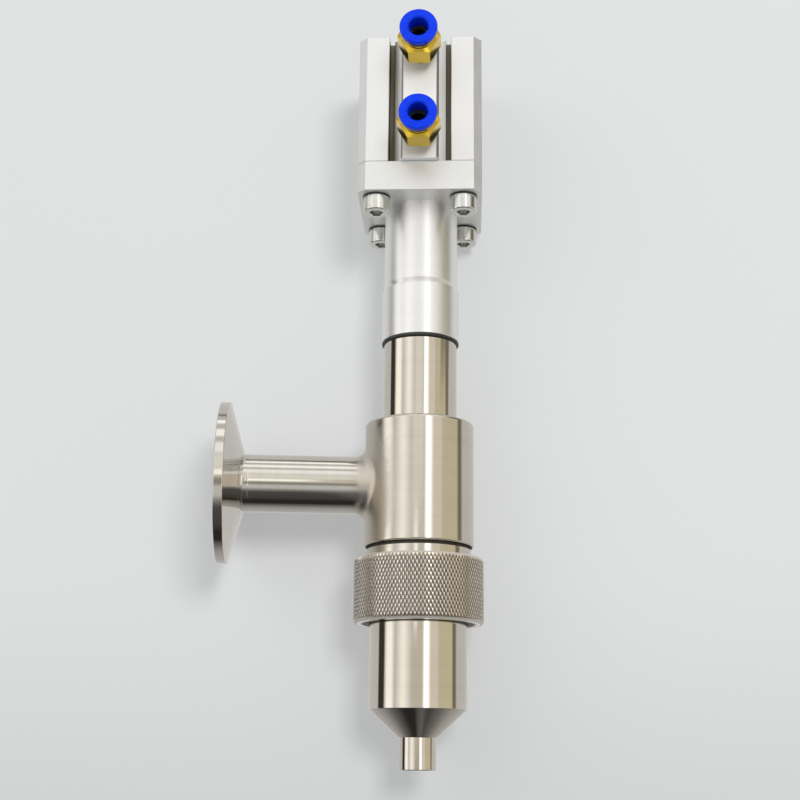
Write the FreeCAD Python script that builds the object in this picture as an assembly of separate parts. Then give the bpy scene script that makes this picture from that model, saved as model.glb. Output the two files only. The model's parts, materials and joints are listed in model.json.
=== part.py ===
import FreeCAD, Part
import math
import os

# Pneumatic filling nozzle. Product comes in through the clamp ferrule on the branch, runs down
# round the stem and leaves by the spout once the air cylinder lifts the plug off its cone seat.
# Sizes are in millimetres. The origin is the centre of the spout's end face, Z runs up the stem
# to the cylinder, and the two air fittings face -Y.

Vector = FreeCAD.Vector
UP = Vector(0, 0, 1)

# Clearances
running_gap = 0.05        # radial, a sliding shaft in its bush, seal or bore
seated_gap = 0.05         # radial, a spigot in the socket that holds it
thread_gap = 0.1          # radial, plain thread surfaces of the nut and the neck
closing_gap = 0.05        # between faces that close on each other when the nut is tight
free_gap = 0.3            # between pieces that pass without touching
end_gap = 0.3             # between the piston and a cover at either end of the stroke
lift_gap = 0.6            # between the locknut and the front cover with the stem lifted

# Spout and nozzle
spout_bore_radius = 4.0
spout_wall = 1.6
spout_length = 9.6
cone_foot_step = 0.45     # cone's foot beyond the spout
cone_rise = 8.0
nozzle_radius = 14.9
nozzle_wall = 3.5
seat_floor = 2.1          # height of the inner seat's foot above the outer cone's foot
nozzle_show = 25.5        # plain cylinder between the cone and the nut
shoulder_step = 1.1       # shoulder beyond the polished cylinder
shoulder_height = 4.0
spout_edge = 0.25

# Nozzle gasket
gasket_thickness = 1.6
gasket_recess = 0.8
gasket_wall = 0.8         # nozzle metal left outside the gasket
gasket_land = 0.9         # nozzle metal left inside the gasket

# Knurled nut
nut_wall = 3.7
nut_height = 19.9
nut_lip = 3.0
nut_edge = 1.0
nut_mouth_edge = 0.5

# Neck and valve body
neck_show = 3.7           # neck between the nut and the body
neck_thread_depth = 0.6
neck_plain = 4.3          # unthreaded top of the neck
neck_groove_width = 0.9
neck_groove_depth = 0.8
body_step = 0.9           # body beyond the neck
body_edge = 0.7
body_top_edge = 1.0
roof_gap = 1.9            # chamber height above the branch bore

# Branch, tube and clamp ferrule
branch_turn = 5.4         # degrees between the branch and the cylinder's side face
branch_height = 19.4      # branch axis above the body's lower edge
branch_bore_radius = 8.0
branch_wall = 1.0
branch_blend = 3.0
branch_boss_show = 4.5    # welded boss beyond the body's side
blend_tolerance = 0.01    # how near an edge's middle lies to both sides that it joins
branch_length = 62.4      # main axis to the ferrule's sealing face
ferrule_radius = 25.25
ferrule_rim = 2.85
ferrule_back_rise = 4.65  # axial length of the tapered back
ferrule_edge = 0.3
groove_inset = 3.5        # middle of the gasket groove, inside the rim's edge
groove_section_radius = 1.4
weld_width = 1.8
weld_crown = 0.2

# Stem gland
stem_radius = 4.0
gland_lip = 1.0
stem_seal_width = 2.6
stem_seal_height = 2.6
seal_slack = 0.2
seal_lip_depth = 1.1

# Stem tube and its guides
socket_depth = 6.0
tube_bore_radius = 8.0
tube_spigot_wall = 2.2
tube_step = 1.5           # shoulder between the spigot and the tube's outside
tube_show = 26.4          # tube between the body and the black ring
tube_spigot_grip = 9.9    # spigot inside the collar
guide_length = 10.0
lower_guide_flange = 2.0
upper_guide_flange = 1.3
wiper_width = 1.8
wiper_height = 1.4
tube_oring_section = 0.7
tube_oring_rise = 1.9     # O-ring centre above the tube's lower end

# Collar and adapter sleeve
ring_thickness = 0.9
ring_inset = 0.05         # rubber ring's crown inside the collar's outside
collar_wall = 2.2
collar_length = 17.3
collar_edge = 0.25
sleeve_inset = 0.55       # sleeve's outside inside the collar's
sleeve_bevel = 0.7        # how far the sleeve's lower end tapers in towards the collar
sleeve_bevel_height = 1.65
sleeve_wall = 1.6         # at the spigot in the collar
sleeve_land = 0.9         # step that carries the flange

# Rod coupling and locknut
coupling_side_gap = 1.6   # between the coupling and the sleeve's bore
coupling_length = 16.0
coupling_flat_depth = 1.0
coupling_edge = 0.6
coupling_rest_gap = 5.2   # coupling above the upper guide with the stem down
coupling_web = 2.5        # solid stretch between the rod and the stem
rod_thread_radius = 4.0
rod_thread_length = 8.0
locknut_height = 4.0
locknut_flats = 13.0

# Flange and screws
square_side = 40.0
corner_chamfer = 2.7
flange_thickness = 10.0
flange_edge = 0.3
screw_pitch = 28.0
screw_radius = 2.5
screw_hole_gap = 0.25
screw_length = 20.0
screw_head_radius = 4.25
screw_head_height = 5.0
screw_head_edge = 0.4
screw_socket_flats = 4.0
screw_socket_depth = 2.5
screw_washer_radius = 4.4
screw_washer_thickness = 0.5

# Cylinder barrel
stroke = 20.0
cylinder_bore_radius = 12.5
barrel_hole_gap = 0.05
barrel_thread_depth = 14.0
barrel_core_radius = 2.16 # drilled through; the rear end is tapped for screws of its own
pillar_edge = 10.0        # inner edge of a corner pillar, from the middle of the side
strip_half_width = 6.0
strip_edge = 0.7
port_strip_rise = 2.0     # the port side's strip stands proud of its pillars
channel_depth = 2.5
slot_width = 1.6
slot_depth = 4.8

# Covers, circlips and piston
circlip_inset = 0.8
circlip_thickness = 1.0
circlip_groove = 0.8
circlip_width = 1.7
circlip_gap_angle = 56.0
circlip_lug_radius = 1.7
circlip_lug_hole = 0.8
cover_rim = 3.6
cover_nose_wall = 2.0     # cover metal outside the rod seal
front_nose = 3.7
rear_nose = 2.0
rear_dish_radius = 8.0
rear_dish_depth = 1.0
cover_oring_section = 0.7
rod_radius = 5.0
rod_bush_wall = 1.5
rod_seal_width = 2.5
rod_seal_height = 2.8
rod_web = 0.6             # cover metal between the rod bush and the rod seal
piston_height = 7.0
piston_wall_gap = 0.1
piston_seal_width = 2.4
piston_seal_depth = 1.6
wear_ring_width = 1.6
wear_ring_depth = 0.9
piston_land = 0.9
piston_register = 2.0
piston_screw_radius = 2.5
piston_screw_length = 12.0
piston_screw_head_radius = 4.6

# Valve plug
plug_passage = 2.8        # open width between the plug and the nozzle's bore
plug_skirt = 5.0
plug_taper = 4.0
plug_lift = 0.2           # height of the closed plug's cone above the seat
plug_oring_inset = 1.4    # where the O-ring meets the seat, inside the plug's edge
plug_oring_section = 0.9
stem_thread_radius = 2.5
stem_thread_length = 8.0

# Air ports and push-in fittings
lower_port_inset = 2.5    # port axis above the front cover's rim
upper_port_inset = 1.5    # port axis below the rear cover's rim
port_thread_radius = 2.5
port_thread_depth = 5.0
port_air_radius = 1.4
fitting_stem_length = 4.5
fitting_bore_radius = 1.25
fitting_washer_thickness = 1.0
fitting_washer_radius = 4.0
fitting_base_length = 3.0
fitting_base_radius = 4.6
fitting_hex_flats = 12.0
fitting_hex_length = 7.5
fitting_hex_bevel = 0.9
fitting_nose_length = 1.5
fitting_nose_wall = 0.9
hose_radius = 3.1
hose_floor = 3.5          # hose stop above the washer
hose_seat_length = 2.5
pocket_step = 1.3         # pocket for the seal and the grip ring, beyond the hose
hose_seal_height = 2.0
grip_ring_thickness = 0.4
release_travel = 1.5
release_sleeve_wall = 0.75
release_flange_width = 2.9
release_flange_thickness = 2.3
release_mouth_edge = 0.5
release_rest_gap = 1.6    # between the fitting's nose and the release flange

# Radii that follow from the ones above
spout_radius = spout_bore_radius + spout_wall
cone_foot_radius = spout_radius + cone_foot_step
nozzle_bore_radius = nozzle_radius - nozzle_wall
shoulder_radius = nozzle_radius + shoulder_step
nut_bore_radius = shoulder_radius + free_gap
nut_radius = nut_bore_radius + nut_wall
neck_radius = nut_bore_radius - thread_gap
body_radius = neck_radius + body_step
gasket_outer_radius = shoulder_radius - gasket_wall
gasket_inner_radius = nozzle_bore_radius + gasket_land
chamber_radius = nozzle_bore_radius
branch_radius = branch_bore_radius + branch_wall
groove_centre_radius = ferrule_radius - groove_inset
gland_radius = stem_radius + stem_seal_width
wiper_radius = stem_radius + wiper_width
tube_spigot_radius = tube_bore_radius + tube_spigot_wall
tube_radius = tube_spigot_radius + tube_step
collar_radius = tube_spigot_radius + seated_gap + collar_wall
ring_radius = collar_radius - ring_inset
sleeve_radius = collar_radius - sleeve_inset
sleeve_bore_radius = tube_spigot_radius - sleeve_wall
sleeve_spigot_radius = sleeve_radius - sleeve_land
coupling_radius = sleeve_bore_radius - coupling_side_gap
rod_bush_radius = rod_radius + rod_bush_wall
rod_seal_radius = rod_radius + rod_seal_width
cover_nose_radius = rod_seal_radius + cover_nose_wall
plug_radius = nozzle_bore_radius - plug_passage
plug_oring_seat = plug_radius - plug_oring_inset
pocket_radius = hose_radius + pocket_step
fitting_nose_radius = pocket_radius + fitting_nose_wall
release_sleeve_radius = hose_radius + release_sleeve_wall
release_flange_radius = hose_radius + release_flange_width
seat_slope = cone_rise / (nozzle_radius - cone_foot_radius)
half_side = square_side / 2
screw_place = screw_pitch / 2
cover_radius = cylinder_bore_radius - seated_gap

# Heights up the main axis
cone_foot_z = spout_length
cone_top_z = cone_foot_z + cone_rise
seat_foot_z = cone_foot_z + seat_floor
seat_top_z = seat_foot_z + (nozzle_bore_radius - spout_bore_radius) * seat_slope
nut_bottom_z = cone_top_z + nozzle_show
nut_top_z = nut_bottom_z + nut_height
shoulder_z = nut_bottom_z + nut_lip + closing_gap
nozzle_top_z = shoulder_z + shoulder_height
gasket_bottom_z = nozzle_top_z - gasket_recess
neck_bottom_z = gasket_bottom_z + gasket_thickness + closing_gap
body_bottom_z = nut_top_z + neck_show
branch_z = body_bottom_z + branch_height
chamber_roof_z = branch_z + branch_bore_radius + roof_gap
gland_floor_z = chamber_roof_z + gland_lip
socket_floor_z = gland_floor_z + stem_seal_height + seal_slack
body_top_z = socket_floor_z + socket_depth
tube_bottom_z = socket_floor_z + lower_guide_flange
tube_shoulder_z = body_top_z + tube_show
collar_bottom_z = tube_shoulder_z + ring_thickness
collar_top_z = collar_bottom_z + collar_length
tube_top_z = collar_bottom_z + tube_spigot_grip
upper_guide_top_z = tube_top_z + upper_guide_flange
sleeve_bevel_top_z = collar_top_z + sleeve_bevel_height
coupling_bottom_z = upper_guide_top_z + coupling_rest_gap
coupling_top_z = coupling_bottom_z + coupling_length
locknut_top_z = coupling_top_z + locknut_height
front_cover_z = locknut_top_z + stroke + lift_gap
barrel_bottom_z = front_cover_z - circlip_thickness - circlip_inset
flange_bottom_z = barrel_bottom_z - flange_thickness
front_rim_top_z = front_cover_z + cover_rim
front_nose_top_z = front_rim_top_z + front_nose
piston_bottom_z = front_nose_top_z + end_gap
piston_top_z = piston_bottom_z + piston_height
rear_nose_bottom_z = piston_top_z + stroke + end_gap
rear_rim_bottom_z = rear_nose_bottom_z + rear_nose
rear_cover_top_z = rear_rim_bottom_z + cover_rim
barrel_top_z = rear_cover_top_z + circlip_thickness + circlip_inset
lower_port_z = front_rim_top_z + lower_port_inset
upper_port_z = rear_rim_bottom_z - upper_port_inset
port_face = half_side + port_strip_rise

# Directions of the branch and of the air ports
branch_direction = Vector(-math.cos(math.radians(branch_turn)), -math.sin(math.radians(branch_turn)), 0)
port_direction = Vector(0, -1, 0)


def turned(points):
    """Solid turned about Z from an outline of (radius, height) corners."""
    corners = [Vector(radius, 0, height) for radius, height in points]
    outline = Part.makePolygon(corners + corners[:1])
    return Part.Face(outline).revolve(Vector(0, 0, 0), UP, 360)


def ring(inner, outer, low, high):
    """Plain ring or tube about Z."""
    return turned([(inner, low), (outer, low), (outer, high), (inner, high)])


def rod(radius, low, high):
    """Plain round bar about Z."""
    return Part.makeCylinder(radius, high - low, Vector(0, 0, low), UP)


def round_ring(centre_radius, section_radius, height):
    """Ring of round section, such as an O-ring or the groove it leaves."""
    return Part.makeTorus(centre_radius, section_radius, Vector(0, 0, height), UP)


def lip_seal(inner, outer, low, high, lip_depth):
    """Seal ring with a V between its two lips on the upper side."""
    middle = (inner + outer) / 2
    lip = (outer - inner) / 4
    return turned([
        (inner, low), (outer, low), (outer, high), (outer - lip, high),
        (middle, high - lip_depth), (inner + lip, high), (inner, high),
    ])


def hexagon_corner(flats):
    """Radius to the corners of a hexagon, from its width across flats."""
    return flats / 2 / math.cos(math.pi / 6)


def hexagon_bar(flats, low, high):
    """Hexagonal bar about Z with two of its flats square to Y."""
    corner = hexagon_corner(flats)
    angles = [math.radians(60 * step) for step in range(6)]
    corners = [Vector(corner * math.cos(a), corner * math.sin(a), low) for a in angles]
    return Part.Face(Part.makePolygon(corners + corners[:1])).extrude(Vector(0, 0, high - low))


def aimed(shape, start, direction):
    """Copy of a shape built up Z, stood on start and pointed along direction."""
    placed = shape.copy()
    placed.Placement = FreeCAD.Placement(start, FreeCAD.Rotation(UP, direction))
    return placed


def at_corners(shape, place):
    """The four copies of a shape on a square pattern."""
    copies = []
    for side_x in (-1, 1):
        for side_y in (-1, 1):
            copies.append(shape.translated(Vector(side_x * place, side_y * place, 0)))
    return copies


def save(name, shape):
    shape.exportStep("parts/" + name + ".step")


# Nozzle group

def nozzle_body():
    """Spout, cone, cylinder and the shoulder that the nut pulls up, over the inner cone seat."""
    return turned([
        (spout_bore_radius, 0),
        (spout_radius - spout_edge, 0),
        (spout_radius, spout_edge),
        (spout_radius, cone_foot_z),
        (cone_foot_radius, cone_foot_z),
        (nozzle_radius, cone_top_z),
        (nozzle_radius, shoulder_z),
        (shoulder_radius, shoulder_z),
        (shoulder_radius, nozzle_top_z),
        (gasket_outer_radius, nozzle_top_z),
        (gasket_outer_radius, gasket_bottom_z),
        (gasket_inner_radius, gasket_bottom_z),
        (gasket_inner_radius, nozzle_top_z),
        (nozzle_bore_radius, nozzle_top_z),
        (nozzle_bore_radius, seat_top_z),
        (spout_bore_radius, seat_foot_z),
    ])


def nozzle_gasket():
    return ring(
        gasket_inner_radius + seated_gap, gasket_outer_radius - seated_gap,
        gasket_bottom_z, gasket_bottom_z + gasket_thickness,
    )


def knurled_nut():
    """Union nut: the lip carries the nozzle's shoulder and the bore runs on the neck."""
    lip_radius = nozzle_radius + free_gap
    return turned([
        (lip_radius + nut_mouth_edge, nut_bottom_z),
        (nut_radius - nut_edge, nut_bottom_z),
        (nut_radius, nut_bottom_z + nut_edge),
        (nut_radius, nut_top_z - nut_edge),
        (nut_radius - nut_edge, nut_top_z),
        (nut_bore_radius + nut_mouth_edge, nut_top_z),
        (nut_bore_radius, nut_top_z - nut_mouth_edge),
        (nut_bore_radius, nut_bottom_z + nut_lip),
        (lip_radius, nut_bottom_z + nut_lip),
        (lip_radius, nut_bottom_z + nut_mouth_edge),
    ])


# Valve body and branch

def on_blend_line(point):
    """True for a point where the body's side meets the branch's side."""
    from_axis = math.hypot(point.x, point.y)
    along = point.dot(branch_direction)
    across = (point - branch_direction * along - UP * branch_z).Length
    on_body = abs(from_axis - body_radius) < blend_tolerance
    on_branch = abs(across - branch_radius) < blend_tolerance
    return along > 0 and on_body and on_branch


def valve_body():
    """Turned body with its threaded neck and the welded branch boss blended into its side."""
    groove_radius = neck_radius - neck_groove_depth
    thread_root = neck_radius - neck_thread_depth
    outside = turned([
        (0, neck_bottom_z),
        (thread_root, neck_bottom_z),
        (thread_root, body_bottom_z - neck_plain),
        (neck_radius, body_bottom_z - neck_plain + neck_thread_depth),
        (neck_radius, body_bottom_z - neck_groove_width),
        (groove_radius, body_bottom_z - neck_groove_width),
        (groove_radius, body_bottom_z),
        (body_radius - body_edge, body_bottom_z),
        (body_radius, body_bottom_z + body_edge),
        (body_radius, body_top_z - body_top_edge),
        (body_radius - body_top_edge, body_top_z),
        (0, body_top_z),
    ])
    boss = Part.makeCylinder(
        branch_radius, body_radius + branch_boss_show, Vector(0, 0, branch_z), branch_direction)
    joined = outside.fuse(boss)
    blend_edges = [
        edge for edge in joined.Edges
        if on_blend_line(edge.valueAt((edge.FirstParameter + edge.LastParameter) / 2))
    ]
    blended = joined.makeFillet(branch_blend, blend_edges)
    socket_radius = tube_radius + seated_gap
    inside = turned([
        (0, neck_bottom_z - gasket_thickness),
        (chamber_radius, neck_bottom_z - gasket_thickness),
        (chamber_radius, chamber_roof_z),
        (stem_radius + free_gap, chamber_roof_z),
        (stem_radius + free_gap, gland_floor_z),
        (gland_radius, gland_floor_z),
        (gland_radius, socket_floor_z),
        (socket_radius, socket_floor_z),
        (socket_radius, body_top_z + socket_depth),
        (0, body_top_z + socket_depth),
    ])
    passage = Part.makeCylinder(
        branch_bore_radius, branch_length, Vector(0, 0, branch_z), branch_direction)
    return blended.cut(inside).cut(passage)


def inlet_tube():
    """Thin tube from the boss to the ferrule's weld."""
    start = body_radius + branch_boss_show
    end = branch_length - ferrule_rim - ferrule_back_rise - weld_width
    tube = ring(branch_bore_radius, branch_radius, start, end)
    return aimed(tube, Vector(0, 0, branch_z), branch_direction)


def inlet_ferrule():
    """Clamp ferrule: grooved sealing face, rim, tapered back and a neck with its weld bead."""
    back = branch_length - ferrule_rim
    hub = back - ferrule_back_rise
    neck = hub - weld_width
    crown = Vector(branch_radius + weld_crown, 0, hub - weld_width / 2)
    bead = Part.Arc(Vector(branch_radius, 0, neck), crown, Vector(branch_radius, 0, hub))
    corners = [
        (branch_radius, hub),
        (ferrule_radius - ferrule_edge, back - ferrule_edge / 2),
        (ferrule_radius, back + ferrule_edge),
        (ferrule_radius, branch_length - ferrule_edge),
        (ferrule_radius - ferrule_edge, branch_length),
        (branch_bore_radius, branch_length),
        (branch_bore_radius, neck),
        (branch_radius, neck),
    ]
    sides = Part.makePolygon([Vector(radius, 0, height) for radius, height in corners])
    outline = Part.Wire([bead.toShape()] + sides.Edges)
    disc = Part.Face(outline).revolve(Vector(0, 0, 0), UP, 360)
    groove = round_ring(groove_centre_radius, groove_section_radius, branch_length)
    return aimed(disc.cut(groove), Vector(0, 0, branch_z), branch_direction)


# Stem guides and seals

def stem_seal():
    return lip_seal(
        stem_radius + running_gap, gland_radius - seated_gap,
        gland_floor_z, gland_floor_z + stem_seal_height, seal_lip_depth,
    )


def lower_guide():
    """Flanged guide bush clamped between the body's socket and the stem tube."""
    return turned([
        (stem_radius + running_gap, socket_floor_z),
        (tube_radius, socket_floor_z),
        (tube_radius, tube_bottom_z),
        (tube_bore_radius - seated_gap, tube_bottom_z),
        (tube_bore_radius - seated_gap, tube_bottom_z + guide_length),
        (stem_radius + running_gap, tube_bottom_z + guide_length),
    ])


def upper_guide():
    """Guide bush in the tube's top end, with a recess for the wiper ring."""
    recess_floor = upper_guide_top_z - wiper_height
    return turned([
        (stem_radius + running_gap, tube_top_z - guide_length),
        (tube_bore_radius - seated_gap, tube_top_z - guide_length),
        (tube_bore_radius - seated_gap, tube_top_z),
        (tube_spigot_radius, tube_top_z),
        (tube_spigot_radius, upper_guide_top_z),
        (wiper_radius, upper_guide_top_z),
        (wiper_radius, recess_floor),
        (stem_radius + running_gap, recess_floor),
    ])


def stem_wiper():
    return lip_seal(
        stem_radius + running_gap, wiper_radius - seated_gap,
        upper_guide_top_z - wiper_height, upper_guide_top_z, wiper_height / 2,
    )


def tube_oring_place():
    """Centre radius and height of the O-ring round the tube's lower end."""
    return tube_radius - tube_oring_section, tube_bottom_z + tube_oring_rise


def stem_tube():
    """Tube round the stem, with a turned spigot for the collar and an O-ring groove."""
    centre_radius, height = tube_oring_place()
    half_groove = tube_oring_section + seated_gap
    root = centre_radius - half_groove
    return turned([
        (tube_bore_radius, tube_bottom_z),
        (tube_radius, tube_bottom_z),
        (tube_radius, height - half_groove),
        (root, height - half_groove),
        (root, height + half_groove),
        (tube_radius, height + half_groove),
        (tube_radius, tube_shoulder_z),
        (tube_spigot_radius, tube_shoulder_z),
        (tube_spigot_radius, tube_top_z),
        (tube_bore_radius, tube_top_z),
    ])


def tube_oring():
    centre_radius, height = tube_oring_place()
    return round_ring(centre_radius, tube_oring_section, height)


# Collar, black ring and sleeve

def black_ring():
    """Rubber ring squeezed between the tube's shoulder and the collar, with a rounded edge."""
    inner = tube_spigot_radius + seated_gap
    bulge = ring_thickness / 2
    low_in = Vector(inner, 0, tube_shoulder_z)
    low_out = Vector(ring_radius - bulge, 0, tube_shoulder_z)
    crown = Vector(ring_radius, 0, tube_shoulder_z + bulge)
    high_out = Vector(ring_radius - bulge, 0, collar_bottom_z)
    high_in = Vector(inner, 0, collar_bottom_z)
    outline = Part.Wire([
        Part.makeLine(low_in, low_out),
        Part.Arc(low_out, crown, high_out).toShape(),
        Part.makeLine(high_out, high_in),
        Part.makeLine(high_in, low_in),
    ])
    return Part.Face(outline).revolve(Vector(0, 0, 0), UP, 360)


def collar():
    """Threaded collar that joins the stem tube to the adapter sleeve."""
    bore = tube_spigot_radius + seated_gap
    return turned([
        (bore, collar_bottom_z),
        (collar_radius - collar_edge, collar_bottom_z),
        (collar_radius, collar_bottom_z + collar_edge),
        (collar_radius, collar_top_z - collar_edge),
        (collar_radius - collar_edge, collar_top_z),
        (bore, collar_top_z),
    ])


def adapter_sleeve():
    """Sleeve between the collar and the cylinder's flange; the rod coupling runs inside it."""
    flange_top = flange_bottom_z + flange_thickness
    return turned([
        (sleeve_bore_radius, upper_guide_top_z),
        (tube_spigot_radius, upper_guide_top_z),
        (tube_spigot_radius, collar_top_z),
        (sleeve_radius - sleeve_bevel, collar_top_z),
        (sleeve_radius, sleeve_bevel_top_z),
        (sleeve_radius, flange_bottom_z),
        (sleeve_spigot_radius, flange_bottom_z),
        (sleeve_spigot_radius, flange_top),
        (sleeve_bore_radius, flange_top),
    ])


# Flange and its screws

def flange_plate():
    """Square milled plate with cut corners, the sleeve's bore and four screw holes."""
    near = half_side - corner_chamfer
    corners = [
        (-near, -half_side), (near, -half_side), (half_side, -near), (half_side, near),
        (near, half_side), (-near, half_side), (-half_side, near), (-half_side, -near),
    ]
    points = [Vector(x, y, flange_bottom_z) for x, y in corners]
    plate = Part.Face(Part.makePolygon(points + points[:1])).extrude(Vector(0, 0, flange_thickness))
    lower_edges = [
        edge for edge in plate.Edges
        if edge.BoundBox.ZMax < flange_bottom_z + flange_edge
    ]
    plate = plate.makeChamfer(flange_edge, lower_edges)
    top = flange_bottom_z + flange_thickness
    holes = [rod(sleeve_spigot_radius + seated_gap, flange_bottom_z, top)]
    holes += at_corners(rod(screw_radius + screw_hole_gap, flange_bottom_z, top), screw_place)
    return plate.cut(Part.makeCompound(holes))


def socket_screw():
    """Cap screw pointing up, its head under the washer."""
    seat = flange_bottom_z - screw_washer_thickness
    low = seat - screw_head_height
    body = turned([
        (0, low),
        (screw_head_radius - screw_head_edge, low),
        (screw_head_radius, low + screw_head_edge),
        (screw_head_radius, seat),
        (screw_radius, seat),
        (screw_radius, seat + screw_length - screw_head_edge),
        (screw_radius - screw_head_edge, seat + screw_length),
        (0, seat + screw_length),
    ])
    return body.cut(hexagon_bar(screw_socket_flats, low, low + screw_socket_depth))


def flange_screws():
    return Part.makeCompound(at_corners(socket_screw(), screw_place))


def screw_washers():
    washer = ring(
        screw_radius + screw_hole_gap, screw_washer_radius,
        flange_bottom_z - screw_washer_thickness, flange_bottom_z,
    )
    return Part.makeCompound(at_corners(washer, screw_place))


# Air cylinder

def side_profile(rise):
    """One side of the barrel's section, left to right, for a side facing -Y.

    A pillar's face, the narrow slot beside it, the channel floor and the middle strip.
    """
    floor = -half_side + channel_depth
    slot_floor = -half_side + slot_depth
    slot_side = pillar_edge - slot_width
    strip_top = -half_side - rise
    left = [
        (-pillar_edge, -half_side),
        (-pillar_edge, slot_floor),
        (-slot_side, slot_floor),
        (-slot_side, floor),
        (-strip_half_width, floor),
        (-strip_half_width, strip_top + strip_edge),
        (-strip_half_width + strip_edge, strip_top),
    ]
    right = [(-x, y) for x, y in reversed(left)]
    near = half_side - corner_chamfer
    return [(-near, -half_side)] + left + right + [(near, -half_side)]


def barrel_outline():
    """Section of the barrel: the port side is raised, and the other three strips lie flush."""
    points = []
    for quarter, rise in enumerate((port_strip_rise, 0, 0, 0)):
        turn = math.radians(90 * quarter)
        for x, y in side_profile(rise):
            points.append(Vector(
                x * math.cos(turn) - y * math.sin(turn),
                x * math.sin(turn) + y * math.cos(turn),
                barrel_bottom_z,
            ))
    return Part.Face(Part.makePolygon(points + points[:1]))


def circlip_seat(low):
    """Groove in the barrel's bore for one circlip."""
    return rod(cylinder_bore_radius + circlip_groove, low, low + circlip_thickness)


def cylinder_barrel():
    """Extruded barrel: bore, circlip grooves, two threaded air ports and the corner holes.

    Each corner is drilled through at core size. The flange's end is opened to thread size, where
    its screws sit.
    """
    barrel = barrel_outline().extrude(Vector(0, 0, barrel_top_z - barrel_bottom_z))
    rear_circlip_z = rear_cover_top_z
    front_circlip_z = barrel_bottom_z + circlip_inset
    cuts = [
        rod(cylinder_bore_radius, barrel_bottom_z, barrel_top_z),
        circlip_seat(front_circlip_z),
        circlip_seat(rear_circlip_z),
    ]
    thread_radius = screw_radius + barrel_hole_gap
    thread_top_z = barrel_bottom_z + barrel_thread_depth
    cuts += at_corners(rod(barrel_core_radius, barrel_bottom_z, barrel_top_z), screw_place)
    cuts += at_corners(rod(thread_radius, barrel_bottom_z, thread_top_z), screw_place)
    for height in (lower_port_z, upper_port_z):
        mouth = Vector(0, -port_face, height)
        thread = Part.makeCylinder(port_thread_radius, port_thread_depth, mouth, -port_direction)
        air = Part.makeCylinder(port_air_radius, port_face, mouth, -port_direction)
        cuts += [thread, air]
    for cutter in cuts:
        barrel = barrel.cut(cutter)
    return barrel


def circlip(low):
    """Internal circlip with a gap and two drilled lugs for the pliers."""
    outer = cylinder_bore_radius + circlip_groove - running_gap
    inner = outer - circlip_width
    lug_place = inner - circlip_lug_radius / 2
    high = low + circlip_thickness
    half_gap = math.radians(circlip_gap_angle / 2)
    reach = outer * 2
    wedge_corners = [
        Vector(0, 0, low),
        Vector(reach * math.cos(half_gap), -reach * math.sin(half_gap), low),
        Vector(reach * math.cos(half_gap), reach * math.sin(half_gap), low),
    ]
    wedge = Part.Face(Part.makePolygon(wedge_corners + wedge_corners[:1]))
    clip = ring(inner, outer, low, high).cut(wedge.extrude(Vector(0, 0, circlip_thickness)))
    lug_angle = half_gap + circlip_lug_radius / lug_place
    for side in (-1, 1):
        place = Vector(lug_place * math.cos(lug_angle), side * lug_place * math.sin(lug_angle), 0)
        clip = clip.fuse(rod(circlip_lug_radius, low, high).translated(place))
        clip = clip.cut(rod(circlip_lug_hole, low, high).translated(place))
    return clip


def cover_oring_place(rim_bottom):
    """Centre radius and height of the O-ring in the middle of a cover's rim."""
    return cover_radius - cover_oring_section, rim_bottom + cover_rim / 2


def cover_oring(rim_bottom):
    centre_radius, height = cover_oring_place(rim_bottom)
    return round_ring(centre_radius, cover_oring_section, height)


def cover_groove(rim_bottom):
    centre_radius, height = cover_oring_place(rim_bottom)
    half_groove = cover_oring_section + seated_gap
    root = centre_radius - half_groove
    return ring(root, cover_radius + free_gap, height - half_groove, height + half_groove)


def front_cover():
    """Cover that guides the rod, with seats for its bush and its seal."""
    seal_floor = front_nose_top_z - rod_seal_height
    cover = turned([
        (rod_bush_radius, front_cover_z),
        (cover_radius, front_cover_z),
        (cover_radius, front_rim_top_z),
        (cover_nose_radius, front_rim_top_z),
        (cover_nose_radius, front_nose_top_z),
        (rod_seal_radius, front_nose_top_z),
        (rod_seal_radius, seal_floor),
        (rod_radius + free_gap, seal_floor),
        (rod_radius + free_gap, seal_floor - rod_web),
        (rod_bush_radius, seal_floor - rod_web),
    ])
    return cover.cut(cover_groove(front_cover_z))


def rod_bush():
    return ring(
        rod_radius + running_gap, rod_bush_radius - seated_gap,
        front_cover_z, front_nose_top_z - rod_seal_height - rod_web,
    )


def rod_seal():
    return lip_seal(
        rod_radius + running_gap, rod_seal_radius - seated_gap,
        front_nose_top_z - rod_seal_height, front_nose_top_z, seal_lip_depth,
    )


def rear_cover():
    """Blank cover with a shallow dish on its outer face."""
    cover = turned([
        (0, rear_nose_bottom_z),
        (cover_nose_radius, rear_nose_bottom_z),
        (cover_nose_radius, rear_rim_bottom_z),
        (cover_radius, rear_rim_bottom_z),
        (cover_radius, rear_cover_top_z),
        (rear_dish_radius, rear_cover_top_z),
        (rear_dish_radius - rear_dish_depth, rear_cover_top_z - rear_dish_depth),
        (0, rear_cover_top_z - rear_dish_depth),
    ])
    return cover.cut(cover_groove(rear_rim_bottom_z))


# Moving stem

piston_radius = cylinder_bore_radius - piston_wall_gap
piston_seal_z = piston_top_z - piston_land - piston_seal_width
wear_ring_z = piston_bottom_z + piston_land


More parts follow.
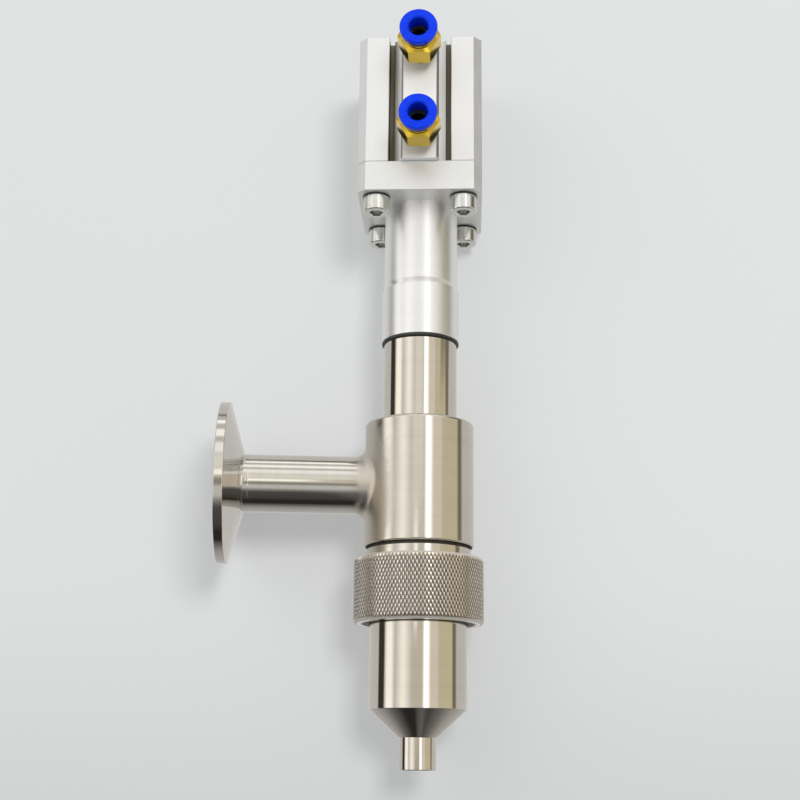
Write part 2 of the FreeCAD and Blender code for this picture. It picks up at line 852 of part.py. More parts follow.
def piston():
    """Piston with a seal groove above a wear ring groove, screwed down on the rod."""
    seal_root = piston_radius - piston_seal_depth
    wear_root = piston_radius - wear_ring_depth
    head_depth = piston_screw_head_radius - piston_screw_radius
    clear = piston_screw_radius + seated_gap
    return turned([
        (rod_radius + seated_gap, piston_bottom_z),
        (piston_radius, piston_bottom_z),
        (piston_radius, wear_ring_z),
        (wear_root, wear_ring_z),
        (wear_root, wear_ring_z + wear_ring_width),
        (piston_radius, wear_ring_z + wear_ring_width),
        (piston_radius, piston_seal_z),
        (seal_root, piston_seal_z),
        (seal_root, piston_seal_z + piston_seal_width),
        (piston_radius, piston_seal_z + piston_seal_width),
        (piston_radius, piston_top_z),
        (piston_screw_head_radius + seated_gap, piston_top_z),
        (clear, piston_top_z - head_depth),
        (clear, piston_bottom_z + piston_register),
        (rod_radius + seated_gap, piston_bottom_z + piston_register),
    ])


def piston_seal():
    return lip_seal(
        piston_radius - piston_seal_depth + seated_gap, cylinder_bore_radius - running_gap,
        piston_seal_z + seated_gap, piston_seal_z + piston_seal_width - seated_gap, seal_lip_depth,
    )


def wear_ring():
    return ring(
        piston_radius - wear_ring_depth + seated_gap, cylinder_bore_radius - running_gap,
        wear_ring_z + seated_gap, wear_ring_z + wear_ring_width - seated_gap,
    )


def piston_screw():
    """Countersunk screw that holds the piston to the rod, flush with the piston's top."""
    head_depth = piston_screw_head_radius - piston_screw_radius
    end = piston_top_z - piston_screw_length
    screw = turned([
        (0, end),
        (piston_screw_radius, end),
        (piston_screw_radius, piston_top_z - head_depth),
        (piston_screw_head_radius, piston_top_z),
        (0, piston_top_z),
    ])
    socket = hexagon_bar(screw_socket_flats, piston_top_z - head_depth, piston_top_z)
    return screw.cut(socket)


def piston_rod():
    """Rod from the piston down to its threaded end in the coupling."""
    top = piston_bottom_z + piston_register
    tapped = piston_top_z - piston_screw_length - end_gap
    return turned([
        (0, coupling_top_z - rod_thread_length),
        (rod_thread_radius, coupling_top_z - rod_thread_length),
        (rod_thread_radius, locknut_top_z),
        (rod_radius, locknut_top_z),
        (rod_radius, top),
        (piston_screw_radius + seated_gap, top),
        (piston_screw_radius + seated_gap, tapped),
        (0, tapped),
    ])


def rod_coupling():
    """Coupling between the cylinder's rod and the valve stem, with two spanner flats."""
    hole = rod_thread_radius + seated_gap
    body = turned([
        (hole, coupling_bottom_z),
        (coupling_radius - coupling_edge, coupling_bottom_z),
        (coupling_radius, coupling_bottom_z + coupling_edge),
        (coupling_radius, coupling_top_z - coupling_edge),
        (coupling_radius - coupling_edge, coupling_top_z),
        (hole, coupling_top_z),
    ])
    flat_length = coupling_length / 2
    for low_y in (-coupling_radius, coupling_radius - coupling_flat_depth):
        corner = Vector(-coupling_radius, low_y, coupling_bottom_z)
        slab = Part.makeBox(coupling_radius * 2, coupling_flat_depth, flat_length, corner)
        body = body.cut(slab)
    return body


def coupling_locknut():
    nut = hexagon_bar(locknut_flats, coupling_top_z, locknut_top_z)
    return nut.cut(rod(rod_thread_radius + seated_gap, coupling_top_z, locknut_top_z))


plug_cone_top_z = seat_foot_z + (plug_radius - spout_bore_radius) * seat_slope + plug_lift
plug_skirt_top_z = plug_cone_top_z + plug_skirt
plug_top_z = plug_skirt_top_z + plug_taper


def plug_oring_place():
    """Centre of the plug's O-ring, held off the cone seat by its own section and a hair."""
    seat_length = math.hypot(1, seat_slope)
    off_seat = plug_oring_section + running_gap
    seat_z = seat_foot_z + (plug_oring_seat - spout_bore_radius) * seat_slope
    centre_radius = plug_oring_seat - off_seat * seat_slope / seat_length
    return centre_radius, seat_z + off_seat / seat_length


def valve_plug():
    """Plug whose cone matches the nozzle's seat, with an O-ring let into the cone."""
    hole = stem_thread_radius + seated_gap
    body = turned([
        (0, seat_foot_z + plug_lift),
        (spout_bore_radius, seat_foot_z + plug_lift),
        (plug_radius, plug_cone_top_z),
        (plug_radius, plug_skirt_top_z),
        (stem_radius, plug_top_z),
        (hole, plug_top_z),
        (hole, plug_top_z - stem_thread_length - end_gap),
        (0, plug_top_z - stem_thread_length - end_gap),
    ])
    centre_radius, height = plug_oring_place()
    return body.cut(round_ring(centre_radius, plug_oring_section + running_gap, height))


def plug_oring():
    centre_radius, height = plug_oring_place()
    return round_ring(centre_radius, plug_oring_section, height)


def valve_stem():
    """Stem from the plug up through the gland and both guides into the coupling."""
    top = coupling_top_z - rod_thread_length - coupling_web
    return turned([
        (0, plug_top_z - stem_thread_length),
        (stem_thread_radius, plug_top_z - stem_thread_length),
        (stem_thread_radius, plug_top_z),
        (stem_radius, plug_top_z),
        (stem_radius, top),
        (0, top),
    ])


# Push-in fittings, built up Z from the strip's face and then turned to the port

fitting_base = fitting_washer_thickness
fitting_hex_bottom = fitting_base + fitting_base_length
fitting_hex_top = fitting_hex_bottom + fitting_hex_length
fitting_top = fitting_hex_top + fitting_nose_length
hose_stop = fitting_base + hose_floor
pocket_floor = hose_stop + hose_seat_length
hose_seal_top = pocket_floor + hose_seal_height
grip_ring_top = hose_seal_top + grip_ring_thickness
release_sleeve_end = grip_ring_top + release_travel + free_gap
release_flange_low = fitting_top + release_rest_gap
release_face = release_flange_low + release_flange_thickness


def fitting_body():
    """Brass body: threaded stem, round foot, hexagon with a turned bevel, and the hose pocket."""
    hexagon = hexagon_bar(fitting_hex_flats, fitting_hex_bottom, fitting_hex_top)
    corner = hexagon_corner(fitting_hex_flats)
    bevel = turned([
        (0, fitting_hex_bottom),
        (corner, fitting_hex_bottom),
        (corner, fitting_hex_top - fitting_hex_bevel),
        (fitting_nose_radius, fitting_hex_top),
        (0, fitting_hex_top),
    ])
    shaft = turned([
        (0, -fitting_stem_length),
        (port_thread_radius - seated_gap, -fitting_stem_length),
        (port_thread_radius - seated_gap, fitting_base),
        (fitting_base_radius, fitting_base),
        (fitting_base_radius, fitting_hex_bottom),
        (fitting_nose_radius, fitting_hex_bottom),
        (fitting_nose_radius, fitting_top),
        (0, fitting_top),
    ])
    passage = turned([
        (0, -fitting_stem_length),
        (fitting_bore_radius, -fitting_stem_length),
        (fitting_bore_radius, hose_stop),
        (hose_radius, hose_stop),
        (hose_radius, pocket_floor),
        (pocket_radius, pocket_floor),
        (pocket_radius, fitting_top),
        (0, fitting_top),
    ])
    return hexagon.common(bevel).fuse(shaft).cut(passage).removeSplitter()


def fitting_washer():
    return ring(port_thread_radius + seated_gap, fitting_washer_radius, 0, fitting_washer_thickness)


def hose_seal():
    return ring(hose_radius, pocket_radius - seated_gap, pocket_floor, hose_seal_top)


def grip_ring():
    """Dished steel ring that bites the hose."""
    rise = grip_ring_thickness / 2
    middle = (hose_radius + pocket_radius) / 2
    return turned([
        (hose_radius, hose_seal_top),
        (middle, hose_seal_top + rise / 2),
        (pocket_radius - seated_gap, hose_seal_top + rise),
        (pocket_radius - seated_gap, grip_ring_top),
        (middle, grip_ring_top - rise / 2),
        (hose_radius, hose_seal_top + rise),
    ])


def fitting_retainer():
    return ring(
        release_sleeve_radius + running_gap, pocket_radius - seated_gap,
        grip_ring_top, fitting_top,
    )


def release_ring():
    """Push ring: a sleeve into the fitting and a flange with a bevelled mouth for the hose."""
    return turned([
        (hose_radius, release_sleeve_end),
        (release_sleeve_radius, release_sleeve_end),
        (release_sleeve_radius, release_flange_low),
        (release_flange_radius - release_mouth_edge, release_flange_low),
        (release_flange_radius, release_flange_low + release_mouth_edge),
        (release_flange_radius, release_face - release_mouth_edge / 2),
        (release_flange_radius - release_mouth_edge / 2, release_face),
        (hose_radius + release_mouth_edge, release_face),
        (hose_radius, release_face - release_mouth_edge),
    ])


fitting_pieces = {
    "fitting_body": fitting_body,
    "fitting_washer": fitting_washer,
    "hose_seal": hose_seal,
    "grip_ring": grip_ring,
    "fitting_retainer": fitting_retainer,
    "release_ring": release_ring,
}

single_pieces = {
    "nozzle_body": nozzle_body,
    "nozzle_gasket": nozzle_gasket,
    "knurled_nut": knurled_nut,
    "valve_body": valve_body,
    "inlet_tube": inlet_tube,
    "inlet_ferrule": inlet_ferrule,
    "stem_seal": stem_seal,
    "lower_guide": lower_guide,
    "upper_guide": upper_guide,
    "stem_wiper": stem_wiper,
    "stem_tube": stem_tube,
    "tube_oring": tube_oring,
    "black_ring": black_ring,
    "collar": collar,
    "adapter_sleeve": adapter_sleeve,
    "flange_plate": flange_plate,
    "flange_screws": flange_screws,
    "screw_washers": screw_washers,
    "cylinder_barrel": cylinder_barrel,
    "front_cover": front_cover,
    "rod_bush": rod_bush,
    "rod_seal": rod_seal,
    "rear_cover": rear_cover,
    "piston": piston,
    "piston_seal": piston_seal,
    "wear_ring": wear_ring,
    "piston_screw": piston_screw,
    "piston_rod": piston_rod,
    "rod_coupling": rod_coupling,
    "coupling_locknut": coupling_locknut,
    "valve_plug": valve_plug,
    "plug_oring": plug_oring,
    "valve_stem": valve_stem,
}


def build():
    os.makedirs("parts", exist_ok=True)
    for name, make in single_pieces.items():
        save(name, make())
    save("front_circlip", circlip(barrel_bottom_z + circlip_inset))
    save("rear_circlip", circlip(rear_cover_top_z))
    save("front_cover_oring", cover_oring(front_cover_z))
    save("rear_cover_oring", cover_oring(rear_rim_bottom_z))
    for label, height in (("lower", lower_port_z), ("upper", upper_port_z)):
        start = Vector(0, -port_face, height)
        for name, make in fitting_pieces.items():
            save(label + "_" + name, aimed(make(), start, port_direction))


build()
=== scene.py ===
# %% [markdown]
# This lesson dresses a pneumatic filling nozzle for its photograph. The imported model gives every
# piece at its real size and place. Here the pieces that show get smooth meshes with small
# rounded edges, because polished metal lives from the bright lines on its edges.

# %% Load the frame
import json
import math

import bpy
from mathutils import Matrix, Vector
from mathutils.geometry import tessellate_polygon


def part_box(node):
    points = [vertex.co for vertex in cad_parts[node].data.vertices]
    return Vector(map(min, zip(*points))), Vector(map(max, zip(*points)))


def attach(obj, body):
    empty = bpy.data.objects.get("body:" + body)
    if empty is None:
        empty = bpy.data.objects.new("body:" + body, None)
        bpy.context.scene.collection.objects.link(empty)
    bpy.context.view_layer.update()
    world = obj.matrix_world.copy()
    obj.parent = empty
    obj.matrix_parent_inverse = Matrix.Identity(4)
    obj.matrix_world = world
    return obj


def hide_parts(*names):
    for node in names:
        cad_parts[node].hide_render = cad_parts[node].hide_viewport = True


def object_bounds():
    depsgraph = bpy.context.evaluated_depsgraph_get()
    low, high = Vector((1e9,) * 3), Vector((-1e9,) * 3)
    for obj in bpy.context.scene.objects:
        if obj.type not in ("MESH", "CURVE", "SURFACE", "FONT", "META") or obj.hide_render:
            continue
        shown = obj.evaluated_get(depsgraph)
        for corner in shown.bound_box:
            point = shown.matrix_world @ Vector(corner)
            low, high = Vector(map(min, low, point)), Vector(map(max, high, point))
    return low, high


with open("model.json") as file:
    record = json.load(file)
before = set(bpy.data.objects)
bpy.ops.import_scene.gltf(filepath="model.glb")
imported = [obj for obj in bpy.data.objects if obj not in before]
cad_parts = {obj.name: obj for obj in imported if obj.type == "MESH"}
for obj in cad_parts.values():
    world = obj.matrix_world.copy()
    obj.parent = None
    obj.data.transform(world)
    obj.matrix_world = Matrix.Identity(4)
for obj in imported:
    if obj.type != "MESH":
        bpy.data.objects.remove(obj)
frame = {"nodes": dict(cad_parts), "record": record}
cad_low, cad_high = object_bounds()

MM = 0.001
TURN = 2 * math.pi
nodes = frame["nodes"]
record = frame["record"]
mounts = {mount["name"]: mount for mount in record["mounts"]}
print("CAD box in mm:", [round(value / MM, 1) for value in (*cad_low, *cad_high)])


def reach(node):
    """Lowest and highest corner of a node, in millimetres."""
    low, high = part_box(node)
    return low / MM, high / MM


def around(radius, angle, height):
    """Point at a distance from the axis, or a slanted direction, at an angle round Z."""
    return (radius * math.cos(angle), radius * math.sin(angle), height)


def add_object(name, data):
    thing = bpy.data.objects.new(name, data)
    bpy.context.scene.collection.objects.link(thing)
    return thing


# %% [markdown]
# A mirror finish shows every wrong normal. So each face here carries the exact normal of the
# surface at its corners, worked out with the shape, in place of normals that Blender averages.
# A Skin gathers such faces, joins corners that meet, and turns each face to look outwards.

# %% A skin of faces with exact normals
class Skin:
    """Faces in millimetres, each with a normal at every corner."""

    def __init__(self):
        self.index = {}
        self.points = []
        self.faces = []
        self.normals = []

    def corner(self, point):
        key = tuple(round(value, 4) for value in point)
        if key not in self.index:
            self.index[key] = len(self.points)
            self.points.append(Vector(point) * MM)
        return self.index[key]

    def face(self, points, normals=None):
        """One face; corners that meet count once. Without normals they share the flat one."""
        ids = [self.corner(point) for point in points]
        keep = [i for i in range(len(ids)) if ids[i] != ids[i - 1]]
        if len({ids[i] for i in keep}) < 3:
            return
        spots = [Vector(points[i]) for i in keep]
        flat = sum((spots[i - 1].cross(spots[i]) for i in range(len(spots))), Vector())
        flat.normalize()
        own = [Vector(normals[i]) if normals else flat for i in keep]
        order = list(range(len(keep)))
        if flat.dot(sum(own, Vector())) < 0:
            order.reverse()
        self.faces.append([ids[keep[i]] for i in order])
        self.normals.extend(own[i].normalized() for i in order)

    def patch(self, grid, normals):
        """Quads between the rows of a grid of points with a normal at each."""
        for row in range(len(grid) - 1):
            for column in range(len(grid[row]) - 1):
                spots = [(row, column), (row, column + 1), (row + 1, column + 1), (row + 1, column)]
                self.face([grid[i][j] for i, j in spots], [normals[i][j] for i, j in spots])


def make_piece(skin, name, body, slot, replaced=(), place=None, finish=None):
    """Turns a skin into an object that rides on a body and stands for CAD nodes.

    Its material is that of its slot, unless finish names another.
    """
    mesh = bpy.data.meshes.new(name)
    mesh.from_pydata(skin.points, [], skin.faces)
    mesh.polygons.foreach_set("use_smooth", [True] * len(mesh.polygons))
    mesh.normals_split_custom_set(skin.normals)
    mesh.materials.append(finishes[finish or slot])
    piece = add_object(name, mesh)
    if place is not None:
        piece.matrix_world = place
    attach(piece, body)
    if replaced:
        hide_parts(*replaced)
    print(f"{name}: {len(mesh.polygons)} faces")


# %% [markdown]
# Turned pieces and extrusions both start from an outline whose corners are rounded a little.
# One function rounds the corners and gives the outward normal at each point. The material lies
# on the left of the outline, so a hole is simply an outline that runs the other way.

# %% Rounded outlines
def rounded(corners, steps=5):
    """Closed outline as pieces of [(x, y, nx, ny), ...] from corners (x, y) or (x, y, rounding)."""
    spots = [Vector(corner[:2]) for corner in corners]
    radii = [corner[2] if len(corner) > 2 else 0.0 for corner in corners]
    count = len(spots)
    ways = [(spots[(i + 1) % count] - spots[i]).normalized() for i in range(count)]
    outward = [Vector((way.y, -way.x)) for way in ways]
    starts, ends, arcs = [], [], []
    for i in range(count):
        before, after = ways[i - 1], ways[i]
        turn = math.atan2(before.cross(after), before.dot(after))
        radius = radii[i] if abs(turn) > 1e-4 else 0.0
        back = radius * math.tan(abs(turn) / 2)
        starts.append(spots[i] - before * back)
        ends.append(spots[i] + after * back)
        side = 1 if turn > 0 else -1
        middle = starts[i] - outward[i - 1] * radius * side
        arc = []
        for step in range(steps + 1 if radius else 0):
            normal = outward[i - 1].copy()
            normal.rotate(Matrix.Rotation(turn * step / steps, 2))
            arc.append((*(middle + normal * radius * side), *normal))
        arcs.append(arc)
    pieces = []
    for i in range(count):
        if arcs[i]:
            pieces.append(arcs[i])
        a, b, normal = ends[i], starts[(i + 1) % count], outward[i]
        if (b - a).length > 1e-6:
            pieces.append([(*a, *normal), (*b, *normal)])
    return pieces


def flat_piece(pieces, axis, value):
    """The straight piece whose radius (axis 0) or height (axis 1) is value at both ends."""
    for piece in pieces:
        if len(piece) == 2 and all(abs(point[axis] - value) < 1e-4 for point in piece):
            return piece
    raise ValueError(f"no straight piece at {value}")


def circle_outline(x, y, radius, count=48, hole=False):
    """Circle as one piece of outline points; a hole runs clockwise with normals inwards."""
    side = -1 if hole else 1
    points = []
    for step in range(count + 1):
        out_x, out_y, _ = around(1.0, side * TURN * step / count, 0.0)
        points.append((x + radius * out_x, y + radius * out_y, side * out_x, side * out_y))
    return [points]


# %% Turned pieces
def turn_outline(skin, pieces, segments=160):
    """Revolves outline pieces of (radius, height, normal) round Z."""
    for piece in pieces:
        for first, second in zip(piece, piece[1:]):
            if max(first[0], second[0]) < 1e-6:
                continue
            for step in range(segments):
                a, b = [TURN * (turn % segments) / segments for turn in (step, step + 1)]
                spots = ((a, first), (b, first), (b, second), (a, second))
                points = [around(spot[0], angle, spot[1]) for angle, spot in spots]
                skin.face(points, [around(spot[2], angle, spot[3]) for angle, spot in spots])


def turned(corners, segments=160):
    """Skin of one turned solid. Corners run with the metal on their left, up the outside."""
    skin = Skin()
    turn_outline(skin, rounded(corners), segments)
    return skin


# %% Extruded pieces
def extrude_outlines(skin, outlines, low, high, edge, steps=3):
    """Upright walls over outlines, with edges rounded by edge at both ends and flat caps."""
    levels = []
    for start, way in ((low, 1), (high, -1)):
        end_levels = []
        for step in range(steps + 1):
            bend = math.pi / 2 * step / steps
            inset, height = edge * (1 - math.sin(bend)), start + way * edge * (1 - math.cos(bend))
            end_levels.append((inset, -way * math.cos(bend), math.sin(bend), height))
        levels += end_levels[::way]
    caps = {0: [], len(levels) - 1: []}
    for outline in outlines:
        loop = [point for piece in outline for point in piece[:-1]]
        for level in caps:
            inset, _, _, height = levels[level]
            caps[level].append([Vector((x - nx * inset, y - ny * inset, height)) for x, y, nx, ny in loop])
        for piece in outline:
            rows, normals = [], []
            for inset, rise, out, height in levels:
                rows.append([(x - nx * inset, y - ny * inset, height) for x, y, nx, ny in piece])
                normals.append([(nx * out, ny * out, rise) for x, y, nx, ny in piece])
            skin.patch(rows, normals)
    for level, loops in caps.items():
        flat = [point for loop in loops for point in loop]
        up = (0, 0, levels[level][1])
        for triangle in tessellate_polygon(loops):
            skin.face([flat[i] for i in triangle], [up] * 3)


# %% [markdown]
# Finishes come next. Metal is a mirror first: its colour is only a tint, and what sets a turned
# tube apart from a satin collar is how rough the mirror is and which way the fine marks run.
# The marks are node groups, built once. Each puts out plain values that every material then
# uses in its own measure. A Wire is what comes out of a node: adding, multiplying or comparing
# wires makes the Math node for it, so a mask reads like the sum that it is.

# %% Wires between shader nodes
class Wire:
    """What comes out of a shader node; sums, products and comparisons make Math nodes."""

    def __init__(self, tree, socket):
        self.tree = tree
        self.socket = socket

    def math(self, operation, *others, clamp=False):
        inputs = dict(enumerate((self, *others)))
        return new_node(self.tree, "Math", inputs, operation=operation, use_clamp=clamp)

    def __add__(self, other):
        return self.math("ADD", other)

    def __sub__(self, other):
        return self.math("SUBTRACT", other)

    def __rsub__(self, other):
        return new_node(self.tree, "Math", {0: other, 1: self}, operation="SUBTRACT")

    def __mul__(self, other):
        return self.math("MULTIPLY", other)

    def __lt__(self, other):
        return self.math("LESS_THAN", other)

    def __gt__(self, other):
        return self.math("GREATER_THAN", other)


def feed(node, inputs):
    """Links wires to a node's inputs, and sets the others to a number or a colour."""
    for label, value in inputs.items():
        socket = node.inputs[label]
        if isinstance(value, Wire):
            value.tree.links.new(value.socket, socket)
        else:
            socket.default_value = (*value, 1) if isinstance(value, tuple) else value


def new_node(tree, kind, inputs=None, output=0, **settings):
    """Adds a node with its settings, feeds its inputs, and gives the wire of one output."""
    node = tree.nodes.new("ShaderNode" + kind)
    for name, value in settings.items():
        setattr(node, name, value)
    feed(node, inputs or {})
    return Wire(tree, node.outputs[output])


def place_in_mm(tree):
    """The place on the piece along its own axes, in millimetres, as x, y and z wires."""
    place = new_node(tree, "TexCoord", output="Object")
    scaled = new_node(tree, "VectorMath", {0: place, "Scale": 1 / MM}, operation="SCALE")
    split = new_node(tree, "SeparateXYZ", {0: scaled})
    return [Wire(tree, socket) for socket in split.socket.node.outputs]


def noise(x, y, z, detail=2.0, roughness=0.5):
    place = new_node(x.tree, "CombineXYZ", {0: x, 1: y, 2: z})
    inputs = {"Vector": place, "Scale": 1.0, "Detail": detail, "Roughness": roughness}
    return new_node(x.tree, "TexNoise", inputs, "Fac")


def length_of(a, b):
    return (a * a + b * b).math("SQRT")


# %% Node groups for marks and haze
def new_group(name, inputs, make):
    """Shader node group with number inputs; make works out its outputs from their wires."""
    group = bpy.data.node_groups.new(name, "ShaderNodeTree")
    for label, value in inputs.items():
        socket = group.interface.new_socket(name=label, in_out="INPUT", socket_type="NodeSocketFloat")
        socket.default_value = value
    start = group.nodes.new("NodeGroupInput")
    results = make(*place_in_mm(group), *[Wire(group, start.outputs[label]) for label in inputs])
    for label in results:
        group.interface.new_socket(name=label, in_out="OUTPUT", socket_type="NodeSocketFloat")
    feed(group.nodes.new("NodeGroupOutput"), results)
    return group


def lathe_noise(x, y, z, density):
    """Fine rings round Z. Their noise runs along the axis and the radius, never round it."""
    radius = length_of(x, y)
    rings = noise(z * density, radius * density, 0.0, detail=3.0, roughness=0.6)
    return {"Rings": rings, "Bands": noise(z * band_pace, radius * band_pace, 4.0)}


def long_noise(x, y, z, across_x, across_y, across_z):
    """Straight marks of a belt or a mill, set by how fast the noise runs along each axis."""
    return {"Marks": noise(x * across_x, y * across_y, z * across_z, detail=3.0, roughness=0.65)}


def haze_noise(x, y, z, size):
    """Slow cloudy change, as where fingers and cloths have been."""
    return {"Haze": noise(x * size, y * size, z * size, detail=4.0, roughness=0.55)}


band_pace = 0.35
lathe_marks = new_group("lathe marks", {"Marks per mm": 4.0}, lathe_noise)
long_marks = new_group("long marks", {"Across x": 6.0, "Across y": 6.0, "Across z": 0.2}, long_noise)
haze = new_group("haze", {"Size": 0.12}, haze_noise)
print("node groups:", [group.name for group in bpy.data.node_groups])


# %% Material helpers
def place_group(tree, group, inputs):
    """Puts a node group in a tree with its inputs set, and gives its wires by name."""
    node = new_node(tree, "Group", inputs, node_tree=group).socket.node
    return {socket.name: Wire(tree, socket) for socket in node.outputs}


def haze_of(tree, size):
    return place_group(tree, haze, {"Size": size})["Haze"]


def between(factor, low, high):
    """Number that runs from low to high over the middle part of a noise."""
    inputs = {"Value": factor, "From Min": 0.3, "From Max": 0.7, "To Min": low, "To Max": high}
    return new_node(factor.tree, "MapRange", inputs, "Result")


def tint(factor, dark, light):
    """Colour that runs from dark to light over the middle part of a noise."""
    wire = new_node(factor.tree, "ValToRGB", {"Fac": factor}, "Color")
    for i, (position, colour) in enumerate(((0.3, dark), (0.7, light))):
        element = wire.socket.node.color_ramp.elements[i]
        element.position = position
        element.color = (*colour, 1)
    return wire


def mixed(factor, first, second):
    """Goes from the first number or colour to the second as the factor goes from 0 to 1."""
    if isinstance(second, tuple):
        return new_node(factor.tree, "Mix", {0: factor, 6: first, 7: second}, 2, data_type="RGBA")
    return new_node(factor.tree, "Mix", {0: factor, 2: first, 3: second}, 0, data_type="FLOAT")


def ramp(value, start, end, kind="SMOOTHSTEP"):
    """Runs from 0 at start to 1 at end, and stays there."""
    inputs = {"Value": value, "From Min": start, "From Max": end}
    return new_node(value.tree, "MapRange", inputs, "Result", interpolation_type=kind)


def within(value, low, high):
    """1 where the value lies between low and high, else 0."""
    return (value > low) * (value < high)


def bump(height, strength, distance_mm):
    inputs = {"Strength": strength, "Distance": distance_mm * MM, "Height": height}
    return new_node(height.tree, "Bump", inputs, "Normal")


def shaded(shader, factor, colour, roughness):
    """Mixes another colour and roughness into a finish where the factor is 1."""
    for label, value in (("Base Color", colour), ("Roughness", roughness)):
        plain = Wire(factor.tree, shader.inputs[label].links[0].from_socket)
        feed(shader, {label: mixed(factor, plain, value)})


finishes = {}


def new_finish(slot):
    """New material for a finish slot: its tree and its Principled BSDF."""
    finishes[slot] = bpy.data.materials.new(slot)
    finishes[slot].use_nodes = True
    tree = finishes[slot].node_tree
    return tree, tree.nodes["Principled BSDF"]


# %% Metal finishes
def turned_metal(slot, dark, light, rough, marks=4.0, strength=0.15, depth_mm=0.004, stretch=0.0):
    """Metal turned on a lathe: rings in the bump, bands and haze in the roughness and tint.

    Where the rings are coarse, stretch draws reflections out along the piece's axis.
    """
    tree, shader = new_finish(slot)
    lathe = place_group(tree, lathe_marks, {"Marks per mm": marks})
    cloudy = lathe["Bands"] * 0.5 + haze_of(tree, 0.12) * 0.5
    feed(shader, {
        "Metallic": 1.0,
        "Anisotropic": stretch,
        "Anisotropic Rotation": 0.25,
        "Base Color": tint(cloudy, dark, light),
        "Roughness": between(lathe["Rings"] * 0.6 + cloudy * 0.4, *rough),
        "Normal": bump(lathe["Rings"], strength, depth_mm),
    })
    return tree, shader


turned_metal("polished_steel", (0.64, 0.60, 0.54), (0.70, 0.66, 0.60), (0.05, 0.10), 5.0, 0.12)
turned_metal("ringed_steel", (0.64, 0.61, 0.56), (0.71, 0.68, 0.63), (0.05, 0.10), 5.0, 0.9, 0.003)
turned_metal("satin_aluminium", (0.91, 0.915, 0.92), (0.95, 0.955, 0.96), (0.36, 0.44), 7.0, 0.25,
             stretch=0.6)
turned_metal("stem_steel", (0.62, 0.60, 0.57), (0.68, 0.66, 0.63), (0.05, 0.10))
turned_metal("plated_steel", (0.68, 0.69, 0.66), (0.76, 0.77, 0.74), (0.16, 0.24), marks=3.0)
turned_metal("spring_steel", (0.10, 0.10, 0.10), (0.16, 0.16, 0.15), (0.30, 0.45), marks=3.0)
turned_metal("bronze", (0.50, 0.32, 0.15), (0.58, 0.38, 0.20), (0.28, 0.40))

# %% Brass
hose_radius = mounts["lower_hose_socket"]["dims"]["r_mm"]


def make_brass():
    """Yellow brass; inside the hose socket it is painted near black, as painted shade."""
    tree, shader = turned_metal("brass", (0.55, 0.375, 0.035), (0.66, 0.47, 0.065), (0.10, 0.16), marks=3.0)
    x, y, _ = place_in_mm(tree)
    # Painted shade: the bore and floor of the hose socket get a near-black, non-metallic colour.
    bore = length_of(x, y) < hose_radius + 0.2
    shaded(shader, bore, (0.012, 0.012, 0.014), 0.12)
    feed(shader, {"Metallic": 1.0 - bore})


make_brass()

# %% Knurled steel
nut_low, nut_high = reach("knurled_nut")
nut_edge = 0.6
tip_drop = 0.010
groove_drop = 0.04
mouth_shadow_height = 1.5
mouth_shadow_reach = (18.2, 16.8)
slack = 0.05


def make_knurl_finish():
    """Bright tips, and grooves tinted darker and browner as painted shade. The inside of the mouth gets a
    painted shadow.
    """
    tree, shader = turned_metal("knurled_steel", (0.76, 0.72, 0.66), (0.84, 0.80, 0.74), (0.13, 0.20))
    x, y, z = place_in_mm(tree)
    radius = length_of(x, y)
    knurled = within(z, nut_low.z + nut_edge - slack, nut_high.z - nut_edge + slack)
    outside = radius > nut_high.x - 1.0
    # Painted shade: the grooves are tinted darker and browner than the tips.
    groove = ramp(radius, nut_high.x - tip_drop, nut_high.x - groove_drop, "LINEAR") * knurled * outside
    shaded(shader, groove, (0.72, 0.64, 0.53), 0.20)
    rim = (1.0 - knurled) * outside
    shaded(shader, rim, (0.60, 0.56, 0.50), 0.40)
    feed(shader, {"Metallic": 1.0 - (groove * 0.05 + rim * 0.6)})
    # Painted shadow inside the nut's mouth, coloured near black.
    mouth = (z < nut_low.z + mouth_shadow_height) * ramp(radius, *mouth_shadow_reach)
    shaded(shader, mouth, (0.05, 0.045, 0.035), 0.45)


make_knurl_finish()


# %% [markdown]
# The valve body has two finishes in one piece. Its turned surface is polished, but round the
# branch the weld was dressed by hand, which leaves a matte patch with no direction. A mask that
# fades with the distance from the branch's axis mixes the two.

# %% Valve body finish
branch_mount = mounts["inlet_bore"]
branch_z = branch_mount["pos_m"][2] / MM
body_radius = 17.1
body_bottom = nut_high.z + 3.7
groove_width = 0.9
patch_reach = (22.0, 15.0)
patch_stretch = (1.15, 0.5)
patch_middle = branch_z - 3.0
print("branch axis height in mm:", round(branch_z, 2))


def make_body_finish():
    """Polished, with the matte patch in front and painted shade in the groove above the nut."""
    tree, shader = turned_metal(
        "body_steel", (0.62, 0.58, 0.52), (0.69, 0.65, 0.59), (0.07, 0.13), marks=5.0, strength=0.12)
    x, y, z = place_in_mm(tree)
    away = length_of(y * patch_stretch[0], (z - patch_middle) * patch_stretch[1])
    away = away + haze_of(tree, 0.35) * 4.0
    on_body = ramp(x, body_radius + 4.0, body_radius + 1.0)
    shaded(shader, ramp(away, *patch_reach) * (x > 0.0) * on_body, (0.60, 0.56, 0.50), 0.36)
    # Painted shade: the groove above the nut is coloured near black.
    painted_groove_shade = within(z, body_bottom - groove_width - slack, body_bottom + slack)
    shaded(shader, painted_groove_shade, (0.11, 0.10, 0.085), 0.60)


make_body_finish()


